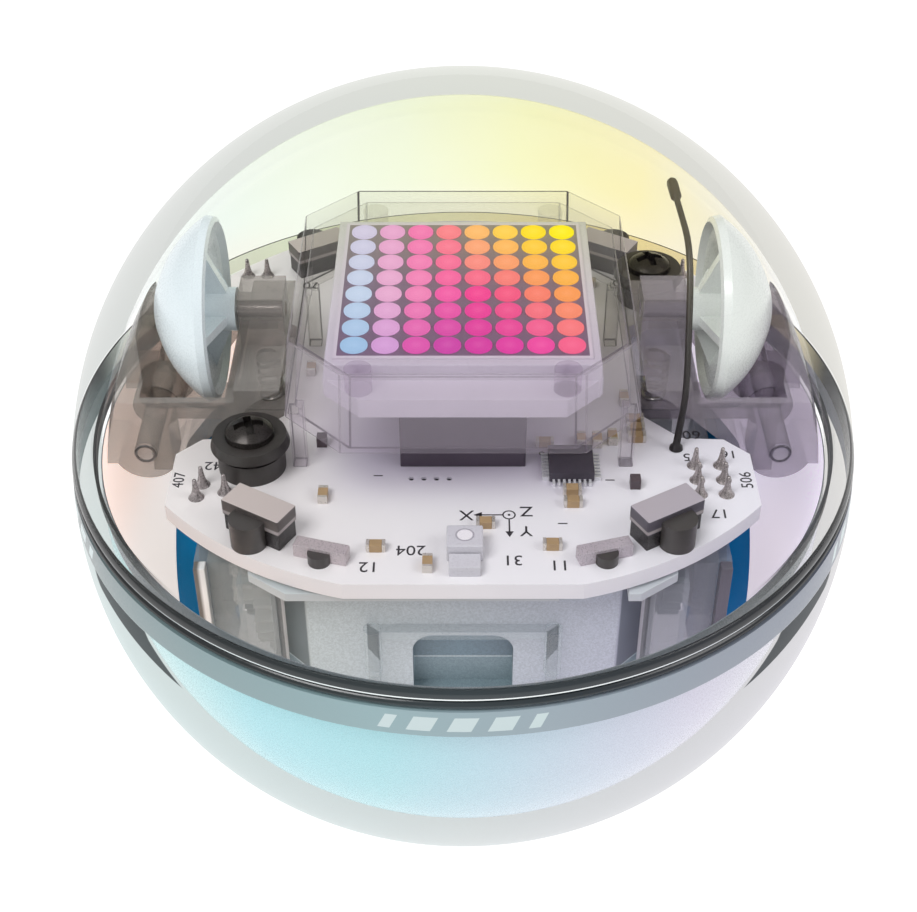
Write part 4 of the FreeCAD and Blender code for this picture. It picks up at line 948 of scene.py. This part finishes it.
def text_part(words, x, y, size, turn, low, high):
    """Flat lettering as (points, faces), centred on x, y."""
    curve = bpy.data.curves.new("mark", "FONT")
    curve.body = words
    curve.size = size
    curve.align_x, curve.align_y = "CENTER", "CENTER"
    curve.resolution_u = 3
    curve.extrude = (high - low) / 2
    carrier = bpy.data.objects.new("mark", curve)
    mesh = bpy.data.meshes.new_from_object(carrier)
    rotation = Matrix.Rotation(math.radians(turn), 4, "Z")
    points = []
    for vertex in mesh.vertices:
        p = rotation @ vertex.co
        points.append((p.x + x, p.y + y, p.z + (low + high) / 2))
    faces = [list(face.vertices) for face in mesh.polygons]
    bpy.data.objects.remove(carrier)
    bpy.data.curves.remove(curve)
    bpy.data.meshes.remove(mesh)
    return points, faces


def bar_part(start, end, width, low, high):
    """A straight line of ink from start to end."""
    start, end = Vector(start), Vector(end)
    side = (end - start).orthogonal().normalized() * width / 2
    return prism([start + side, start - side, end - side, end + side], low, high)


def ring_part(x, y, radius, width, low, high, sides=32):
    """A ring of ink round x, y; radius is its inner one."""
    points, faces = [], []
    for index in range(sides):
        angle = 2 * math.pi * index / sides
        for r in (radius, radius + width):
            for z in (low, high):
                points.append((x + r * math.cos(angle), y + r * math.sin(angle), z))
    for index in range(sides):
        a, b = index * 4, (index + 1) % sides * 4
        faces += [[a, b, b + 1, a + 1], [a + 2, a + 3, b + 3, b + 2], [a + 1, b + 1, b + 3, a + 3],
                  [a, a + 2, b + 2, b]]
    return points, faces


def disc_part(x, y, radius, low, high):
    """The dark floor of a small round hole."""
    turns = [2 * math.pi * index / 24 for index in range(24)]
    return prism([(x + radius * math.cos(a), y + radius * math.sin(a)) for a in turns], low, high)


# Board numbers and axis letters: words, x, y, height and turn in degrees.
MARKS = [("X", 0.3, -17.2, 1.8, 180), ("Y", 5.3, -19.2, 1.8, 180), ("Z", 5.4, -16.7, 1.8, 180),
         ("11", 7.9, -23.4, 1.7, 180), ("12", -7.7, -23.6, 1.7, 180), ("204", -4.3, -21.6, 1.7, 180),
         ("31", 4.1, -22.8, 1.7, 180), ("506", 24.7, -12.6, 1.5, 90), ("407", -24.7, -12.6, 1.4, 90),
         ("42", -22.0, -10.6, 1.6, 180), ("60", 20.6, -6.2, 1.7, 180), ("15", 20.2, -9.4, 1.5, 180),
         ("16", 23.6, -9.0, 1.5, 180), ("17", 21.8, -17.0, 1.6, 180), ("70", -15.6, 18.6, 1.7, 180),
         ("71", -19.6, 18.0, 1.6, 180), ("80", 16.2, 19.0, 1.7, 180)]
DASHES = [(-4.9, -7.5), (-7.8, -12.0), (8.0, -18.3), (12.4, -12.6)]
AXIS_X, AXIS_Y = 3.9, -17.2


def make_board_marks():
    """Printed axes, numbers and dashes, and the row of small holes in front of the display."""
    span = (BOARD_TOP, BOARD_TOP + 0.02)
    parts = [ring_part(AXIS_X, AXIS_Y, 0.45, 0.12, *span),
             bar_part((AXIS_X - 0.5, AXIS_Y), (AXIS_X - 2.5, AXIS_Y), 0.13, *span),
             bar_part((AXIS_X, AXIS_Y - 0.5), (AXIS_X, AXIS_Y - 2.2), 0.13, *span),
             prism([(1.6, -17.55), (1.6, -16.85), (0.9, AXIS_Y)], *span),
             prism([(3.55, -19.3), (4.25, -19.3), (AXIS_X, -20.0)], *span),
             bar_part((AXIS_X, AXIS_Y - 0.1), (AXIS_X, AXIS_Y + 0.1), 0.2, *span)]
    parts += [text_part(*mark, *span) for mark in MARKS]
    parts.append(ring_part(7.0, -8.9, 0.16, 0.1, *span, 16))
    parts += [bar_part((x, y), (x + 0.8, y), 0.12, *span) for x, y in DASHES]
    parts += [disc_part(1.1 * step - 4.5, -12.4, 0.24, 6.9, 7.3) for step in range(4)]
    ink = solid("board_ink", [(52, 48, 54)], 0.5, grain=0.1, depth=0.001)
    add_object("board_marks", joined("board_marks", parts), ink, "chassis")


make_board_marks()


# ---------------------------------------------------------------- stage, light and camera

FLOOR_Z = -BALL * MM
FLOOR_HALF = 3.0
CAMERA_ELEVATION = math.radians(39.0)
CAMERA_DISTANCE = 0.150
# name, place, aim, size and power
LIGHTS = [("key", (-0.28, -0.30, 0.55), (0, 0, 0), 0.35, 2.4),
          ("fill", (0.40, -0.15, 0.35), (0, 0, 0), 0.30, 0.7),
          ("rim", (0.05, 0.45, 0.35), (0, 0, 0.01), 0.30, 0.5)]


def make_floor():
    """White paper: it glows evenly, so that it stays white under the ball."""
    mesh = bpy.data.meshes.new("floor")
    corners = ((-1, -1), (1, -1), (1, 1), (-1, 1))
    mesh.from_pydata([(x * FLOOR_HALF, y * FLOOR_HALF, FLOOR_Z) for x, y in corners], [], [(0, 1, 2, 3)])
    floor = bpy.data.objects.new("floor", mesh)
    SCENE.collection.objects.link(floor)
    tree = Tree("paper_floor")
    shader = tree.principled(Base_Color=(0.12, 0.12, 0.12, 1),
                             Roughness=tree.vary(tree.noise(60.0), 0.55, 0.65),
                             Emission_Color=WHITE, Emission_Strength=1.0)
    shader.inputs["Specular IOR Level"].default_value = 0.1
    mesh.materials.append(tree.surface(shader))


def make_light(name, place, aim, size, power):
    data = bpy.data.lights.new(name, "AREA")
    data.shape = "DISK"
    data.size = size
    data.energy = power
    lamp = bpy.data.objects.new(name, data)
    SCENE.collection.objects.link(lamp)
    lamp.location = place
    lamp.rotation_mode = "QUATERNION"
    lamp.rotation_quaternion = (Vector(aim) - Vector(place)).to_track_quat("-Z", "Y")
    return lamp


def make_camera():
    """Seen from the front and above, as far away as the real size gives."""
    data = bpy.data.cameras.new("camera")
    data.sensor_width = 36.0
    data.lens = 61.1
    data.shift_x = -0.0049
    data.clip_start, data.clip_end = 0.005, 10.0
    camera = bpy.data.objects.new("camera", data)
    SCENE.collection.objects.link(camera)
    camera.location = (0.0, -math.cos(CAMERA_ELEVATION) * CAMERA_DISTANCE,
                       math.sin(CAMERA_ELEVATION) * CAMERA_DISTANCE)
    camera.rotation_mode = "QUATERNION"
    camera.rotation_quaternion = (-camera.location).to_track_quat("-Z", "Y")
    SCENE.camera = camera


def make_world():
    """White to the camera, dimmer as a light."""
    world = bpy.data.worlds.new("studio")
    world.use_nodes = True
    background = world.node_tree.nodes["Background"]
    background.inputs["Color"].default_value = WHITE
    path = world.node_tree.nodes.new("ShaderNodeLightPath")
    strength = world.node_tree.nodes.new("ShaderNodeMapRange")
    strength.inputs["To Min"].default_value = 0.46
    strength.inputs["To Max"].default_value = 1.0
    world.node_tree.links.new(path.outputs["Is Camera Ray"], strength.inputs["Value"])
    world.node_tree.links.new(strength.outputs[0], background.inputs["Strength"])
    SCENE.world = world


make_floor()
make_world()
lamps = [make_light(*light) for light in LIGHTS]
# Its reflection would stand in the clear wall as a white disc.
lamps[-1].visible_glossy = False
make_camera()
SCENE.view_settings.view_transform = "Standard"
SCENE.cycles.transparent_max_bounces = 48
SCENE.cycles.max_bounces = 8
SCENE.cycles.sample_clamp_indirect = 4.0
